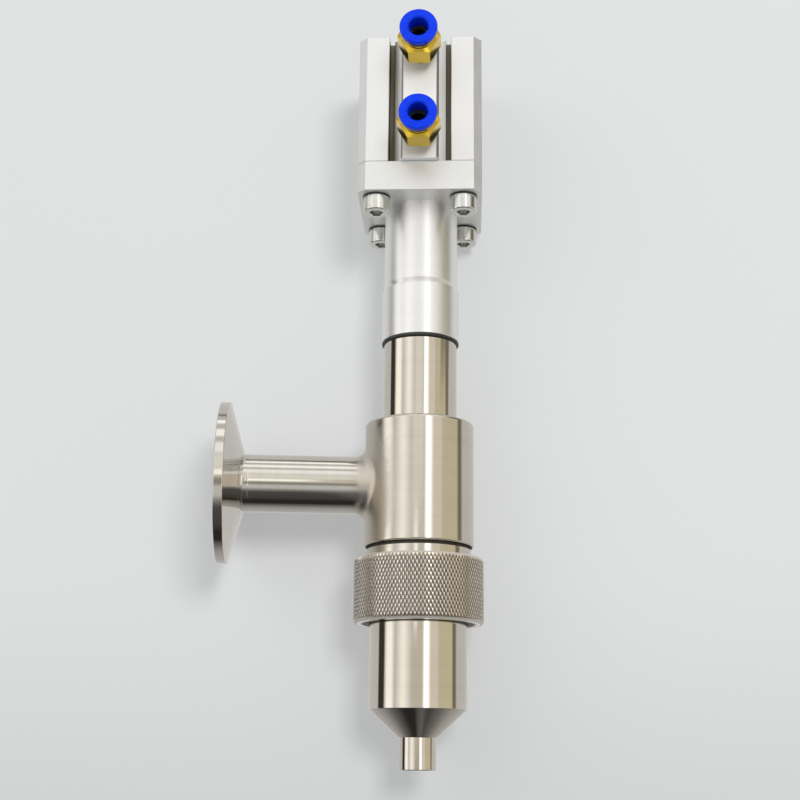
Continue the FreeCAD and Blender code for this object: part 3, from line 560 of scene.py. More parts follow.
# %% Straight marked aluminium
def marked_metal(slot, dark, light, rough, across, strength=0.3, metallic=1.0):
    """Milled or brushed metal: straight fine marks in the bump, tint and roughness."""
    tree, shader = new_finish(slot)
    paces = dict(zip(("Across x", "Across y", "Across z"), across))
    marks = place_group(tree, long_marks, paces)["Marks"]
    cloudy = marks * 0.6 + haze_of(tree, 0.10) * 0.4
    feed(shader, {
        "Metallic": metallic,
        "Base Color": tint(cloudy, dark, light),
        "Roughness": between(cloudy, *rough),
        "Normal": bump(marks, strength, 0.01),
    })
    return tree, shader


marked_metal("milled_aluminium", (0.73, 0.73, 0.72), (0.81, 0.81, 0.80), (0.32, 0.42), (5.0, 5.0, 0.25),
             metallic=0.70)

# %% Anodised barrel
half_side = reach("flange_plate")[1].x
barrel_low, barrel_high = reach("cylinder_barrel")
channel_depth = 2.5
pillar_edge = 10.0
strip_flat = 5.3
strip_bevel_shade = (5.35, 6.1)
channel_shade_reach = (5.9, 8.4)
end_margin = 0.25


def make_anodised():
    """Pale anodised walls with a duller strip. Painted shade darkens the deep slots, the strip's
    bevels and the channels beside the strip, more on the left than on the right."""
    tree, shader = marked_metal(
        "anodised_aluminium", (0.77, 0.77, 0.765), (0.83, 0.83, 0.825), (0.36, 0.46), (3.0, 3.0, 0.10), 0.15)
    x, y, z = place_in_mm(tree)
    wide, deep_in = x.math("ABSOLUTE"), y.math("ABSOLUTE")
    out = wide.math("MAXIMUM", deep_in)
    along = wide.math("MINIMUM", deep_in)
    inside = within(z, barrel_low.z + end_margin, barrel_high.z - end_margin)
    on_strip = (wide < strip_flat) * (y < 0.5 - half_side)
    feed(shader, {"Metallic": mixed(on_strip, 0.74, 0.34)})
    sunk = (out < half_side - 0.5) * (along < pillar_edge + slack)
    # Painted shade on the channel floors beside the strip, stronger on the left side.
    channel_shade = ramp(along, *channel_shade_reach) * sunk * inside
    shaded(shader, channel_shade * mixed(x > 0.0, 1.0, 0.35), (0.18, 0.17, 0.14), 0.50)
    # Painted shade on the strip's bevels.
    shaded(shader, within(along, *strip_bevel_shade) * inside, (0.30, 0.29, 0.26), 0.40)
    # Painted shade deep in the slots beside the pillars.
    deep = ramp(out, half_side - channel_depth - 0.1, half_side - channel_depth - 1.2)
    shaded(shader, deep * inside, (0.20, 0.175, 0.135), 0.50)


make_anodised()


# %% Plastics and rubber
def moulded(slot, dark, light, rough, specular=0.5):
    """Plastic or rubber: a quiet tint change and a fine grain in the bump."""
    tree, shader = new_finish(slot)
    cloudy = haze_of(tree, 0.5)
    feed(shader, {
        "Base Color": tint(cloudy, dark, light),
        "Roughness": between(cloudy, *rough),
        "Normal": bump(haze_of(tree, 6.0), 0.2, 0.01),
        "Specular IOR Level": specular,
    })


moulded("black_rubber", (0.012, 0.012, 0.013), (0.026, 0.026, 0.027), (0.40, 0.55))
moulded("white_gasket", (0.74, 0.74, 0.70), (0.80, 0.80, 0.77), (0.40, 0.50))
moulded("white_plastic", (0.78, 0.78, 0.76), (0.84, 0.84, 0.82), (0.35, 0.45))
moulded("blue_plastic", (0.001, 0.026, 0.58), (0.002, 0.042, 0.72), (0.20, 0.28), specular=0.16)
print("finishes:", sorted(finishes))

# %% [markdown]
# The CAD nodes that are already right, mostly seals and guides inside, keep their own meshes.
# Each takes the finish of the material slot that the record gives it.

# %% Finishes of the CAD nodes
for part in record["subparts"]:
    mesh = nodes[part["node"]].data
    mesh.materials.clear()
    mesh.materials.append(finishes[part["material_slot"]])
print("dressed CAD nodes:", len(record["subparts"]))

# %% [markdown]
# The nozzle is one turned piece: spout, cone, a long polished cylinder and, under the nut, the
# shoulder that the nut pulls up. Inside it is bored, with a cone seat above the spout.

# %% Nozzle
nozzle_low, nozzle_high = reach("nozzle_body")
spout_bore = mounts["outlet_bore"]["dims"]["r_mm"]
seat_foot = mounts["outlet_bore"]["dims"]["length_mm"]
spout_radius = mounts["outlet_spout"]["dims"]["r_mm"]
spout_length = 9.6
cone_foot = 6.05
cone_rise = 8.0
nozzle_radius = 14.9
nozzle_bore = 11.4
shoulder_low = nozzle_high.z - 4.0
shoulder_radius = nozzle_high.x
seat_top = seat_foot + (nozzle_bore - spout_bore) * cone_rise / (nozzle_radius - cone_foot)
nozzle_corners = [
    (spout_bore, nozzle_low.z, 0.15),
    (spout_radius, nozzle_low.z, 0.3),
    (spout_radius, spout_length, 0.15),
    (cone_foot, spout_length, 0.1),
    (nozzle_radius, spout_length + cone_rise, 0.35),
    (nozzle_radius, shoulder_low, 0.1),
    (shoulder_radius, shoulder_low, 0.2),
    (shoulder_radius, nozzle_high.z, 0.2),
    (nozzle_bore, nozzle_high.z, 0.2),
    (nozzle_bore, seat_top, 0.2),
    (spout_bore, seat_foot, 0.2),
]
make_piece(turned(nozzle_corners, 192), "polished_nozzle", "nozzle", "polished_steel", ["nozzle_body"])

# %% [markdown]
# The nut's diamond knurl is two sets of V grooves that cross. Where two grooves cross lies a
# pit, and halfway between stands a point with a small flat tip, left from the round bar. So a
# grid of points and pits, split along its grooves, is the exact form.

# %% Knurled nut
knurl_count = 107
knurl_repeat = 2.2
knurl_depth = 0.09
knurl_flat = 0.68
knurl_length = nut_high.z - nut_low.z - 2 * nut_edge
knurl_rows = 2 * round(knurl_length / knurl_repeat)
nut_radius = nut_high.x
nut_rim = nut_radius - nut_edge
nut_bore = 16.3
nut_lip_bore = 15.2
nut_lip_top = nut_low.z + 3.0
print("knurl rows:", knurl_rows)


def knurl_angle(column):
    return math.pi * column / knurl_count


def knurl_point(column, row, pit=False):
    """Place on the nut's outside, or in the pit where two grooves cross, with its normal."""
    drop = knurl_depth if pit else 0.0
    height = nut_low.z + nut_edge + knurl_length * row / knurl_rows
    if row == 0:
        height -= drop
    if row == knurl_rows:
        height += drop
    angle = knurl_angle(column)
    return around(nut_radius - drop, angle, height), around(1.0, angle, 0.0)


def knurl_cell(skin, column, row):
    """One cell: a groove from pit to pit, and half a flat-topped point on each side of it."""
    square = [(column, row), (column + 1, row), (column + 1, row + 1), (column, row + 1)]
    first = (column + row + 1) % 2
    corners = [square[(first + turn) % 4] for turn in (1, 3)]
    pits = [knurl_point(*corner, True)[0] for corner in corners]
    for peak in (square[first], square[first + 2]):
        cuts = []
        for corner in corners:
            between_them = [p + (q - p) * knurl_flat for p, q in zip(peak, corner)]
            cuts.append(knurl_point(*between_them))
        top = [knurl_point(*peak)] + cuts
        skin.face([point for point, _ in top], [way for _, way in top])
        skin.face([cuts[0][0], cuts[1][0], pits[1], pits[0]])


def knurl_end(skin, column, row, height, way):
    """Bevel over one column, between the knurl's last row and the nut's end."""
    pit_first = (column + row) % 2 == 0
    cut = column + (1 - knurl_flat if pit_first else knurl_flat)
    rim = [around(nut_rim, knurl_angle(step), height) for step in (column, column + 1)]
    outer = [
        knurl_point(column + 1, row, not pit_first)[0],
        knurl_point(cut, row)[0],
        knurl_point(column, row, pit_first)[0],
    ]
    steps = (column, column + 1, column + 1, cut, column)
    skin.face(rim + outer, [around(1.0, knurl_angle(step), way) for step in steps])


def make_nut():
    skin = Skin()
    for column in range(2 * knurl_count):
        for row in range(knurl_rows):
            knurl_cell(skin, column, row)
        knurl_end(skin, column, 0, nut_low.z, -1)
        knurl_end(skin, column, knurl_rows, nut_high.z, 1)
    inside = rounded([
        (nut_rim, nut_high.z),
        (nut_bore, nut_high.z, 0.4),
        (nut_bore, nut_lip_top, 0.1),
        (nut_lip_bore, nut_lip_top, 0.2),
        (nut_lip_bore, nut_low.z, 0.4),
        (nut_rim, nut_low.z),
    ])
    turn_outline(skin, inside[:-1], 2 * knurl_count)
    return skin


make_piece(make_nut(), "knurled_union_nut", "nut", "knurled_steel", ["knurled_nut"])

# %% [markdown]
# Where the branch meets the body, a ball of 3 mm radius could roll along the corner and touch
# both tubes. The path of its centre gives the rounded corner exactly, and the two lines where
# it touches bound the holes in the body's side and in the branch.

# %% Body side with a hole in it
ring_count = 192
window_rows = 16
fan_shares = (0.0, 0.12, 0.3, 0.6, 1.0)


def holed_wall(skin, radius, low, high, window, hole_point, sign):
    """Upright round wall with a hole round +X. hole_point gives its edge at an angle.

    The wall is a plain grid apart from one window, where lines fan from the hole to the grid.
    window is half its width in grid columns and half its height, and sign is -1 for a bore,
    whose normals point inwards. It gives the angles round the hole, once round and closed.
    """
    half_columns, half_height = window
    turn = TURN / ring_count
    hole_low, hole_high = branch_z - half_height, branch_z + half_height
    lines = [hole_low + (hole_high - hole_low) * row / window_rows for row in range(window_rows + 1)]
    heights = [low, *lines, high]

    def normals(points):
        return [(sign * x, sign * y, 0) for x, y, _ in points]

    for column in range(-half_columns, ring_count - half_columns):
        for row in range(window_rows + 2):
            if column < half_columns and 0 < row <= window_rows:
                continue
            sides, levels = (column * turn, (column + 1) * turn), heights[row:row + 2]
            spots = [around(radius, sides[i], levels[j]) for i, j in ((0, 0), (1, 0), (1, 1), (0, 1))]
            skin.face(spots, normals(spots))
    edge = [(column, hole_low) for column in range(-half_columns, half_columns)]
    edge += [(half_columns, height) for height in lines[:-1]]
    edge += [(column, hole_high) for column in range(half_columns, -half_columns, -1)]
    edge += [(-half_columns, height) for height in reversed(lines)]
    fans, hole = [], []
    for column, height in edge:
        angle = math.atan2(height - branch_z, radius * column * turn)
        x, y, z = hole_point(angle)
        start = math.atan2(y, x)
        line = []
        for share in fan_shares:
            line.append(around(radius, start + (column * turn - start) * share, z + (height - z) * share))
        fans.append(line)
        hole.append(angle)
    skin.patch(fans, [normals(line) for line in fans])
    return hole


# %% Valve body
body_low, body_high = reach("valve_body")
neck_bottom = body_low.z
body_top = body_high.z
thread_root = 15.6
thread_end = body_bottom - 4.3
thread_runout = 0.6
neck_radius = 16.2
groove_depth = 0.8
branch_bore = branch_mount["dims"]["r_mm"]
branch_radius = branch_bore + 1.0
blend_ball = 3.0
blend_steps = 8
boss_end = body_radius + 4.5
chamber_radius = nozzle_bore
chamber_roof = branch_z + branch_bore + 1.9
gland_floor = chamber_roof + 1.0
socket_floor = body_top - 6.0
stem_hole = 4.3
gland_radius = 6.6
socket_radius = 11.75
side_window = (40, 16)
chamber_window = (32, 9)


def ball_centre(angle):
    """Centre of the rolling ball at an angle round the branch."""
    across = (branch_radius + blend_ball) * math.cos(angle)
    rise = (branch_radius + blend_ball) * math.sin(angle)
    return math.sqrt((body_radius + blend_ball) ** 2 - across ** 2), across, branch_z + rise


def body_contact(angle):
    """Where the ball touches the body's side."""
    out, across, height = ball_centre(angle)
    share = body_radius / (body_radius + blend_ball)
    return out * share, across * share, height


def boss_point(angle, radius):
    """Where the body's own stub of the branch ends, at a distance from the branch's axis."""
    return boss_end, radius * math.cos(angle), branch_z + radius * math.sin(angle)


def chamber_contact(angle):
    """Where the branch's bore opens into the chamber."""
    _, across, height = boss_point(angle, branch_bore)
    return math.sqrt(chamber_radius ** 2 - across ** 2), across, height


def make_body():
    skin = Skin()
    outside = rounded([
        (chamber_radius, neck_bottom, 0.2),
        (thread_root, neck_bottom, 0.3),
        (thread_root, thread_end, 0.1),
        (neck_radius, thread_end + thread_runout, 0.1),
        (neck_radius, body_bottom - groove_width, 0.12),
        (neck_radius - groove_depth, body_bottom - groove_width, 0.1),
        (neck_radius - groove_depth, body_bottom, 0.1),
        (body_radius, body_bottom, 0.7),
        (body_radius, body_top, 1.0),
        (socket_radius, body_top, 0.15),
        (socket_radius, socket_floor),
        (gland_radius, socket_floor),
        (gland_radius, gland_floor),
        (stem_hole, gland_floor),
        (stem_hole, chamber_roof),
        (chamber_radius, chamber_roof),
    ])
    side = flat_piece(outside, 0, body_radius)
    chamber = flat_piece(outside, 0, chamber_radius)
    turn_outline(skin, [piece for piece in outside if piece not in (side, chamber)], ring_count)
    hole = holed_wall(skin, body_radius, side[0][1], side[1][1], side_window, body_contact, 1)
    bore = holed_wall(
        skin, chamber_radius, chamber[1][1], chamber[0][1], chamber_window, chamber_contact, -1)
    rows, normals = [], []
    for angle in hole:
        middle = Vector(ball_centre(angle))
        outward = (0, math.cos(angle), math.sin(angle))
        to_body = -Vector((middle.x, middle.y, 0)).normalized()
        ways = [to_body.slerp(-Vector(outward), step / blend_steps) for step in range(blend_steps + 1)]
        rows.append([middle + way * blend_ball for way in ways] + [boss_point(angle, branch_radius)])
        normals.append([-way for way in ways] + [outward])
    skin.patch(rows, normals)
    rows = [[chamber_contact(angle), boss_point(angle, branch_bore)] for angle in bore]
    skin.patch(rows, [[(0, -math.cos(angle), -math.sin(angle))] * 2 for angle in bore])
    return skin


branch_axis = Vector(branch_mount["axis"])
body_turn = Matrix.Rotation(math.atan2(branch_axis.y, branch_axis.x), 4, "Z")
make_piece(make_body(), "turned_valve_body", "housing", "body_steel", ["valve_body"], body_turn)

# %% [markdown]
# The neck's thread only shows when the nut is screwed down. It is a ridge that winds up the
# neck and fades out at both ends, as a cut thread does.

# %% Neck thread
thread_pitch = 2.0
thread_crest = 16.15
thread_foot = thread_root - 0.1
thread_start = neck_bottom + 0.9
half_foot = 0.85
half_crest = 0.12
turn_steps = 96
thread_steps = int(5.2 * turn_steps)
fade_steps = 30


def make_thread():
    skin = Skin()
    rows, normals = [], []
    for step in range(thread_steps + 1):
        angle = TURN * step / turn_steps
        middle = thread_start + thread_pitch * step / turn_steps
        fade = min(1.0, step / fade_steps, (thread_steps - step) / fade_steps)
        crest = thread_foot + (thread_crest - thread_foot) * fade
        profile = [
            (thread_foot, -half_foot, -1), (crest, -half_crest, -1), (crest, -half_crest, 0),
            (crest, half_crest, 0), (crest, half_crest, 1), (thread_foot, half_foot, 1),
        ]
        rows.append([around(radius, angle, middle + rise) for radius, rise, _ in profile])
        normals.append([around(1.0, angle, lean) for _, _, lean in profile])
    skin.patch(rows, normals)
    return skin


make_piece(make_thread(), "neck_thread", "housing", "body_steel")

# %% [markdown]
# The branch is a bought tube with a clamp ferrule welded to its end, so it is made as two turned
# pieces that lie along the branch's axis. Small rings from the lathe show on both.

# %% Branch tube
ferrule_radius = 25.25
ferrule_rim = 2.85
ferrule_rise = 4.65
weld_width = 1.8
branch_length = Vector(branch_mount["pos_m"][:2]).length / MM
rim_foot = branch_length - ferrule_rim
ferrule_hub = branch_length - ferrule_rim - ferrule_rise
weld_foot = ferrule_hub - weld_width
branch_swing = Vector((0, 0, 1)).rotation_difference(branch_axis)
branch_place = Matrix.Translation((0, 0, branch_z * MM)) @ branch_swing.to_matrix().to_4x4()
print("branch length in mm:", round(branch_length, 2))

branch_tube = turned([
    (branch_bore, boss_end),
    (branch_radius, boss_end),
    (branch_radius, weld_foot),
    (branch_bore, weld_foot),
])
make_piece(branch_tube, "polished_branch_tube", "housing", "polished_steel", ["inlet_tube"],
           branch_place, "ringed_steel")

# %% Clamp ferrule
arc_steps = 8
weld_crown = 0.08
weld_lean = 0.14
groove_middle = ferrule_radius - 3.5
groove_radius = 1.4


def make_ferrule():
    """Ferrule with its gasket groove in the face and the weld bead round its neck."""
    pieces = rounded([
        (branch_bore, weld_foot),
        (branch_radius, weld_foot),
        (branch_radius, ferrule_hub, 0.1),
        (ferrule_radius - 0.1, rim_foot, 0.25),
        (ferrule_radius, rim_foot + 0.15, 0.2),
        (ferrule_radius, branch_length, 0.3),
        (branch_bore, branch_length, 0.2),
    ])
    face = flat_piece(pieces, 1, branch_length)
    neck = flat_piece(pieces, 0, branch_radius)
    low, high = neck[0][1], neck[1][1]
    groove, bead = [], []
    for step in range(arc_steps + 1):
        share = step / arc_steps
        lean, up, _ = around(1.0, math.pi * share, 0.0)
        groove.append((groove_middle - groove_radius * lean, branch_length - groove_radius * up, lean, up))
        bead.append((branch_radius + weld_crown * up, low + (high - low) * share, 1.0, -weld_lean * lean))
    pieces = [piece for piece in pieces if piece not in (face, neck)]
    pieces.append([face[0], (groove_middle + groove_radius, branch_length, 0.0, 1.0)])
    pieces.append(groove[::-1])
    pieces.append([(groove_middle - groove_radius, branch_length, 0.0, 1.0), face[1]])
    pieces.append(bead)
    skin = Skin()
    turn_outline(skin, pieces, 224)
    return skin


make_piece(make_ferrule(), "clamp_ferrule", "housing", "polished_steel", ["inlet_ferrule"],
           branch_place, "ringed_steel")

# %% [markdown]
# Above the body stand the stem tube, a thin black rubber ring, the collar and the adapter
# sleeve. All are plain turned pieces, so their edges do the work: each has its own small
# rounding, and the bevel between collar and sleeve leaves a fine shadow line.

# %% Stem tube, ring, collar and sleeve
tube_low, tube_high = reach("stem_tube")
ring_low, ring_high = reach("black_ring")
collar_low, collar_high = reach("collar")
sleeve_low, sleeve_high = reach("adapter_sleeve")
flange_low, flange_high = reach("flange_plate")
slip = 0.05
tube_bore = 8.0
tube_radius = tube_high.x
spigot_radius = 10.2
ring_edge = (ring_high.z - ring_low.z) / 2 - 0.01
sleeve_bore = 8.6
sleeve_spigot = 11.0
sleeve_radius = sleeve_high.x
sleeve_bevel = 0.7
bevel_top = collar_high.z + 1.65

stem_pieces = {
    "polished_stem_tube": ("polished_steel", "stem_tube", [
        (tube_bore, tube_low.z),
        (tube_radius, tube_low.z, 0.2),
        (tube_radius, ring_low.z, 0.25),
        (spigot_radius, ring_low.z),
        (spigot_radius, tube_high.z, 0.2),
        (tube_bore, tube_high.z, 0.2),
    ]),
    "rubber_ring": ("black_rubber", "black_ring", [
        (spigot_radius + slip, ring_low.z),
        (ring_high.x, ring_low.z, ring_edge),
        (ring_high.x, ring_high.z, ring_edge),
        (spigot_radius + slip, ring_high.z),
    ]),
    "satin_collar": ("satin_aluminium", "collar", [
        (spigot_radius + slip, collar_low.z),
        (collar_high.x, collar_low.z, 0.3),
        (collar_high.x, collar_high.z, 0.3),
        (spigot_radius + slip, collar_high.z),
    ]),
    "satin_sleeve": ("satin_aluminium", "adapter_sleeve", [
        (sleeve_bore, sleeve_low.z, 0.3),
        (spigot_radius, sleeve_low.z, 0.2),
        (spigot_radius, collar_high.z),
        (sleeve_radius - sleeve_bevel, collar_high.z, 0.1),
        (sleeve_radius, bevel_top, 0.6),
        (sleeve_radius, flange_low.z),
        (sleeve_spigot, flange_low.z),
        (sleeve_spigot, sleeve_high.z),
        (sleeve_bore, sleeve_high.z, 0.3),
    ]),
}
for name, (slot, node, corners) in stem_pieces.items():
    make_piece(turned(corners), name, "housing", slot, [node])

# %% [markdown]
# The flange and the barrel are extrusions. The barrel's section has a proud strip for the air
# ports, a shallow channel on each side of it and a deep narrow slot beside each corner pillar,
# where a switch could be clipped in. The other three sides have the same section lying flush.

# %% Square blocks
corner_cut = half_side - 2.7
screw_place = 14.0
screw_spots = [(x * screw_place, y * screw_place) for x in (-1, 1) for y in (-1, 1)]


def square_block(sides, bore, hole, low, high, edge):
    """Extrusion with a bore and a hole near each corner. sides gives the corners of its four
    sides, each as if it faced -Y, and one quarter turn after the other."""
    corners = []
    for quarter, side in enumerate(sides):
        turn = Matrix.Rotation(TURN / 4 * quarter, 2)
        corners += [(*(turn @ Vector((x, y))), rounding) for x, y, rounding in side]
    outlines = [rounded(corners, 3), circle_outline(0, 0, bore, 96, hole=True)]
    outlines += [circle_outline(x, y, hole, 32, hole=True) for x, y in screw_spots]
    skin = Skin()
    extrude_outlines(skin, outlines, low, high, edge)
    return skin


# %% Flange
screw_hole = 2.75
flange_side = [(-corner_cut, -half_side, 0.35), (corner_cut, -half_side, 0.35)]
flange = square_block([flange_side] * 4, sleeve_spigot + slip, screw_hole, flange_low.z, flange_high.z, 0.3)
make_piece(flange, "milled_flange", "housing", "milled_aluminium", ["flange_plate"])

# %% Barrel
cylinder_bore = 12.5
strip_half = 6.0
strip_cut = 0.7
port_rise = -barrel_low.y - half_side
slot_width = 1.6
slot_depth = 4.8
thread_hole = 2.1


def side_corners(rise):
    """One side of the barrel's section, left to right, for the side that faces -Y."""
    floor = -half_side + channel_depth
    top = -half_side - rise
    left = [
        (-corner_cut, -half_side, 0.4),
        (-pillar_edge, -half_side, 0.35),
        (-pillar_edge, -half_side + slot_depth, 0.25),
        (-pillar_edge + slot_width, -half_side + slot_depth, 0.25),
        (-pillar_edge + slot_width, floor, 0.25),
        (-strip_half, floor, 0.3),
        (-strip_half, top + strip_cut, 0.25),
        (-strip_half + strip_cut, top, 0.25),
    ]
    return left + [(-x, y, rounding) for x, y, rounding in reversed(left)]


barrel_sides = [side_corners(rise) for rise in (port_rise, 0, 0, 0)]
barrel = square_block(barrel_sides, cylinder_bore, thread_hole, barrel_low.z, barrel_high.z, 0.2)
make_piece(barrel, "anodised_barrel", "housing", "anodised_aluminium", ["cylinder_barrel"])

# %% [markdown]
# Cap screws have a hexagon socket, and the fittings have a hexagon outside whose corners are
# turned off to a cone. Both are made round the axis: at each angle the distance to the
# hexagon's side is known, so round and six-sided edges join without a boolean.

# %% Hexagons
def hexagon_reach(flats, angle):
    """Distance from the axis to a hexagon's side, with a corner at angle 0."""
    past_corner = math.fmod(angle, TURN / 6)
    return flats / 2 / math.cos(past_corner - TURN / 12)


def hexagon_steps(flats, count):
    """Small turns round a hexagon: both angles, the reach at each, and the side's normal."""
    for step in range(count):
        a, b = TURN * step / count, TURN * (step + 1) / count
        side = TURN / 6 * math.floor((a + b) / 2 / (TURN / 6) + 1e-9) + TURN / 12
        reaches = hexagon_reach(flats, a), hexagon_reach(flats, b - 1e-9)
        yield (a, b), reaches, around(1.0, side, 0.0)


def small_face(skin, angles, first, second, normals):
    """Face over one small turn. first and second give radius and height at its two angles."""
    spots = zip((0, 1, 1, 0), (first[0], first[1], second[1], second[0]))
    skin.face([around(radius, angles[i], height) for i, (radius, height) in spots], normals)


# %% Cap screws
screws_low, screws_high = reach("flange_screws")
washers_low, washers_high = reach("screw_washers")
head_radius = screws_high.x - screw_place
head_edge = 0.55
socket_flats = 4.0
socket_bevel = 0.25
socket_end = screws_low.z + 2.5
socket_tip = 0.6
tip_slope = 0.3
screw_radius = 2.5
washer_radius = washers_high.x - screw_place


def cap_screw(skin, x, y):
    """One screw pointing up: a turned head and shank, with a hexagon socket in the low end."""
    low = screws_low.z
    one = Skin()
    pieces = rounded([
        (0, low),
        (head_radius, low, head_edge),
        (head_radius, washers_low.z, 0.1),
        (screw_radius, washers_low.z),
        (screw_radius, screws_high.z, 0.3),
        (0, screws_high.z),
    ])
    face = flat_piece(pieces, 1, low)
    turn_outline(one, [piece for piece in pieces if piece is not face], 48)
    for angles, reaches, (nx, ny, _) in hexagon_steps(socket_flats, 48):
        rings = [
            [(head_radius - head_edge, low)] * 2,
            [(out + socket_bevel, low) for out in reaches],
            [(out, low + socket_bevel) for out in reaches],
            [(out, socket_end) for out in reaches],
            [(0, socket_end + socket_tip)] * 2,
        ]
        ways = [(0, 0, -1), (-nx, -ny, -1), (-nx, -ny, 0), (-tip_slope * nx, -tip_slope * ny, -1)]
        for first, second, way in zip(rings, rings[1:], ways):
            small_face(one, angles, first, second, [way] * 4)
    ids = [skin.corner((p.x / MM + x, p.y / MM + y, p.z / MM)) for p in one.points]
    skin.faces.extend([ids[i] for i in face] for face in one.faces)
    skin.normals.extend(one.normals)


screw_skin = Skin()
washer_skin = Skin()
for x, y in screw_spots:
    cap_screw(screw_skin, x, y)
    outlines = [circle_outline(x, y, washer_radius, 48), circle_outline(x, y, screw_hole, 32, hole=True)]
    extrude_outlines(washer_skin, outlines, washers_low.z, washers_high.z, 0.15)
make_piece(screw_skin, "cap_screws", "housing", "plated_steel", ["flange_screws"])
make_piece(washer_skin, "rubber_washers", "housing", "black_rubber", ["screw_washers"])

# %% [markdown]
# Each air fitting is a brass body screwed into the strip, with a blue push ring that frees the
# hose. The hole in the ring shows the dark seal inside, and the brass bore round it is painted dark as
# shade.

# %% Brass fitting
washer_thickness = 1.0
stem_length = 4.5
stem_radius = 2.45
base_radius = 4.6
hex_flats = 12.0
hex_corner = hex_flats / 2 / math.cos(TURN / 12)
hex_low = washer_thickness + 3.0
hex_high = hex_low + 7.5
hex_bevel = 0.9
hex_under = 0.5
under_slope = 0.3
fitting_top = hex_high + 1.5
pocket_radius = hose_radius + 1.3
nose_radius = pocket_radius + 0.9
pocket_floor = 7.0
hose_stop = 4.5
air_bore = 1.25


def make_fitting_body():
    """Brass body, built up Z from the strip's face."""
    pieces = rounded([
        (air_bore, -stem_length, 0.2),
        (stem_radius, -stem_length, 0.3),
        (stem_radius, washer_thickness),
        (base_radius, washer_thickness, 0.2),
        (base_radius, hex_low),
        (nose_radius, hex_low),
        (nose_radius, hex_high),
        (nose_radius, fitting_top, 0.2),
        (pocket_radius, fitting_top, 0.15),
        (pocket_radius, pocket_floor),
        (hose_radius, pocket_floor),
        (hose_radius, hose_stop),
        (air_bore, hose_stop),
    ])
    underside = flat_piece(pieces, 1, hex_low)
    skin = Skin()
    turn_outline(skin, [piece for piece in pieces if piece is not underside], 96)
    lean = hex_bevel / (hex_corner - nose_radius)
    under_lean = hex_under / (hex_corner - base_radius)
    for angles, reaches, normal in hexagon_steps(hex_flats, 96):
        tops = [(out, hex_high - lean * (out - nose_radius)) for out in reaches]
        lows = [(out, hex_low + under_lean * (out - base_radius)) for out in reaches]
        small_face(skin, angles, lows, tops, [normal] * 4)
        cones = ((tops, (nose_radius, hex_high), lean, 1), (lows, (base_radius, hex_low), under_slope, -1))
        for edge, end, slope, way in cones:
            small_face(skin, angles, edge, [end] * 2, [around(slope, angles[i], way) for i in (0, 1, 1, 0)])
    return skin


# %% Push ring
sleeve_end = 11.2
sleeve_outer = hose_radius + 0.75
ring_radius = hose_radius + 2.9
ring_foot = fitting_top + 1.6
ring_face = ring_foot + 2.3
mouth_bevel = 0.5


def make_push_ring():
    """Blue ring: a sleeve that reaches into the body, and a flange with a soft bevelled mouth."""
    return turned([
        (hose_radius, sleeve_end, 0.15),
        (sleeve_outer, sleeve_end, 0.15),
        (sleeve_outer, ring_foot, 0.2),
        (ring_radius, ring_foot, 0.5),
        (ring_radius, ring_face, 0.55),
        (hose_radius + mouth_bevel, ring_face, 0.2),
        (hose_radius, ring_face - mouth_bevel, 0.2),
    ], 96)


for label in ("lower", "upper"):
    spot = mounts[label + "_hose_socket"]["pos_m"]
    port = Matrix.Translation((spot[0], barrel_low.y * MM, spot[2])) @ Matrix.Rotation(TURN / 4, 4, "X")
    make_piece(make_fitting_body(), label + "_brass_fitting", "housing", "brass",
               [label + "_fitting_body"], port)
    make_piece(make_push_ring(), label + "_push_ring", label + "_release", "blue_plastic",
               [label + "_release_ring"], port)

# %% [markdown]
# The studio. Polished metal shows its surroundings, so the room matters as much as the piece:
# a dark gap and two windows on the left, a narrow bright strip beside the camera and a warm
# wall on the right draw the bands on every tube. These panels are seen only in reflections.

# %% Shaders for the studio
def empty_tree(owner):
    """Node tree of a new material or world, with nothing in it."""
    owner.use_nodes = True
    owner.node_tree.nodes.clear()
    return owner.node_tree


def mixed_shaders(factor, first, second):
    return new_node(factor.tree, "MixShader", {0: factor, 1: first, 2: second})


def show(shader, owner="Material"):
    """Makes a shader the surface of its material or world."""
    feed(shader.tree.nodes.new("ShaderNodeOutput" + owner), {"Surface": shader})


def glow(name, colour):
    """Plain glowing material that fades out with the mesh's fade value."""
    material = bpy.data.materials.new(name)
    tree = empty_tree(material)
    material.cycles.emission_sampling = "NONE"
    fade = new_node(tree, "Attribute", output="Fac", attribute_name="fade")
    light = new_node(tree, "Emission", {"Color": colour})
    show(mixed_shaders(fade, new_node(tree, "BsdfTransparent"), light))
    return material


# %% Studio panels
studio_centre = Vector((0, 0, 120)) * MM


def hide_from(thing, *rays):
    for kind in rays:
        setattr(thing, "visible_" + kind, False)


def fading_sheet(name, columns, levels, place, colour):
    """Sheet over a grid whose points glow by the product of their column's and level's share.

    Only mirrors see it.
    """
    points = [place(column, level) for level, _ in levels for column, _ in columns]
    wide = len(columns)
    faces = []
    for i in range(len(levels) - 1):
        for first in range(wide * i, wide * i + wide - 1):
            faces.append([first, first + 1, first + wide + 1, first + wide])
    mesh = bpy.data.meshes.new(name)
    mesh.from_pydata(points, [], faces)
    fade = mesh.attributes.new("fade", "FLOAT", "POINT")
    fade.data.foreach_set("value", [level * column for _, level in levels for _, column in columns])
    mesh.materials.append(glow(name, colour))
    card = add_object(name, mesh)
    hide_from(card, "camera", "diffuse", "transmission", "volume_scatter", "shadow")


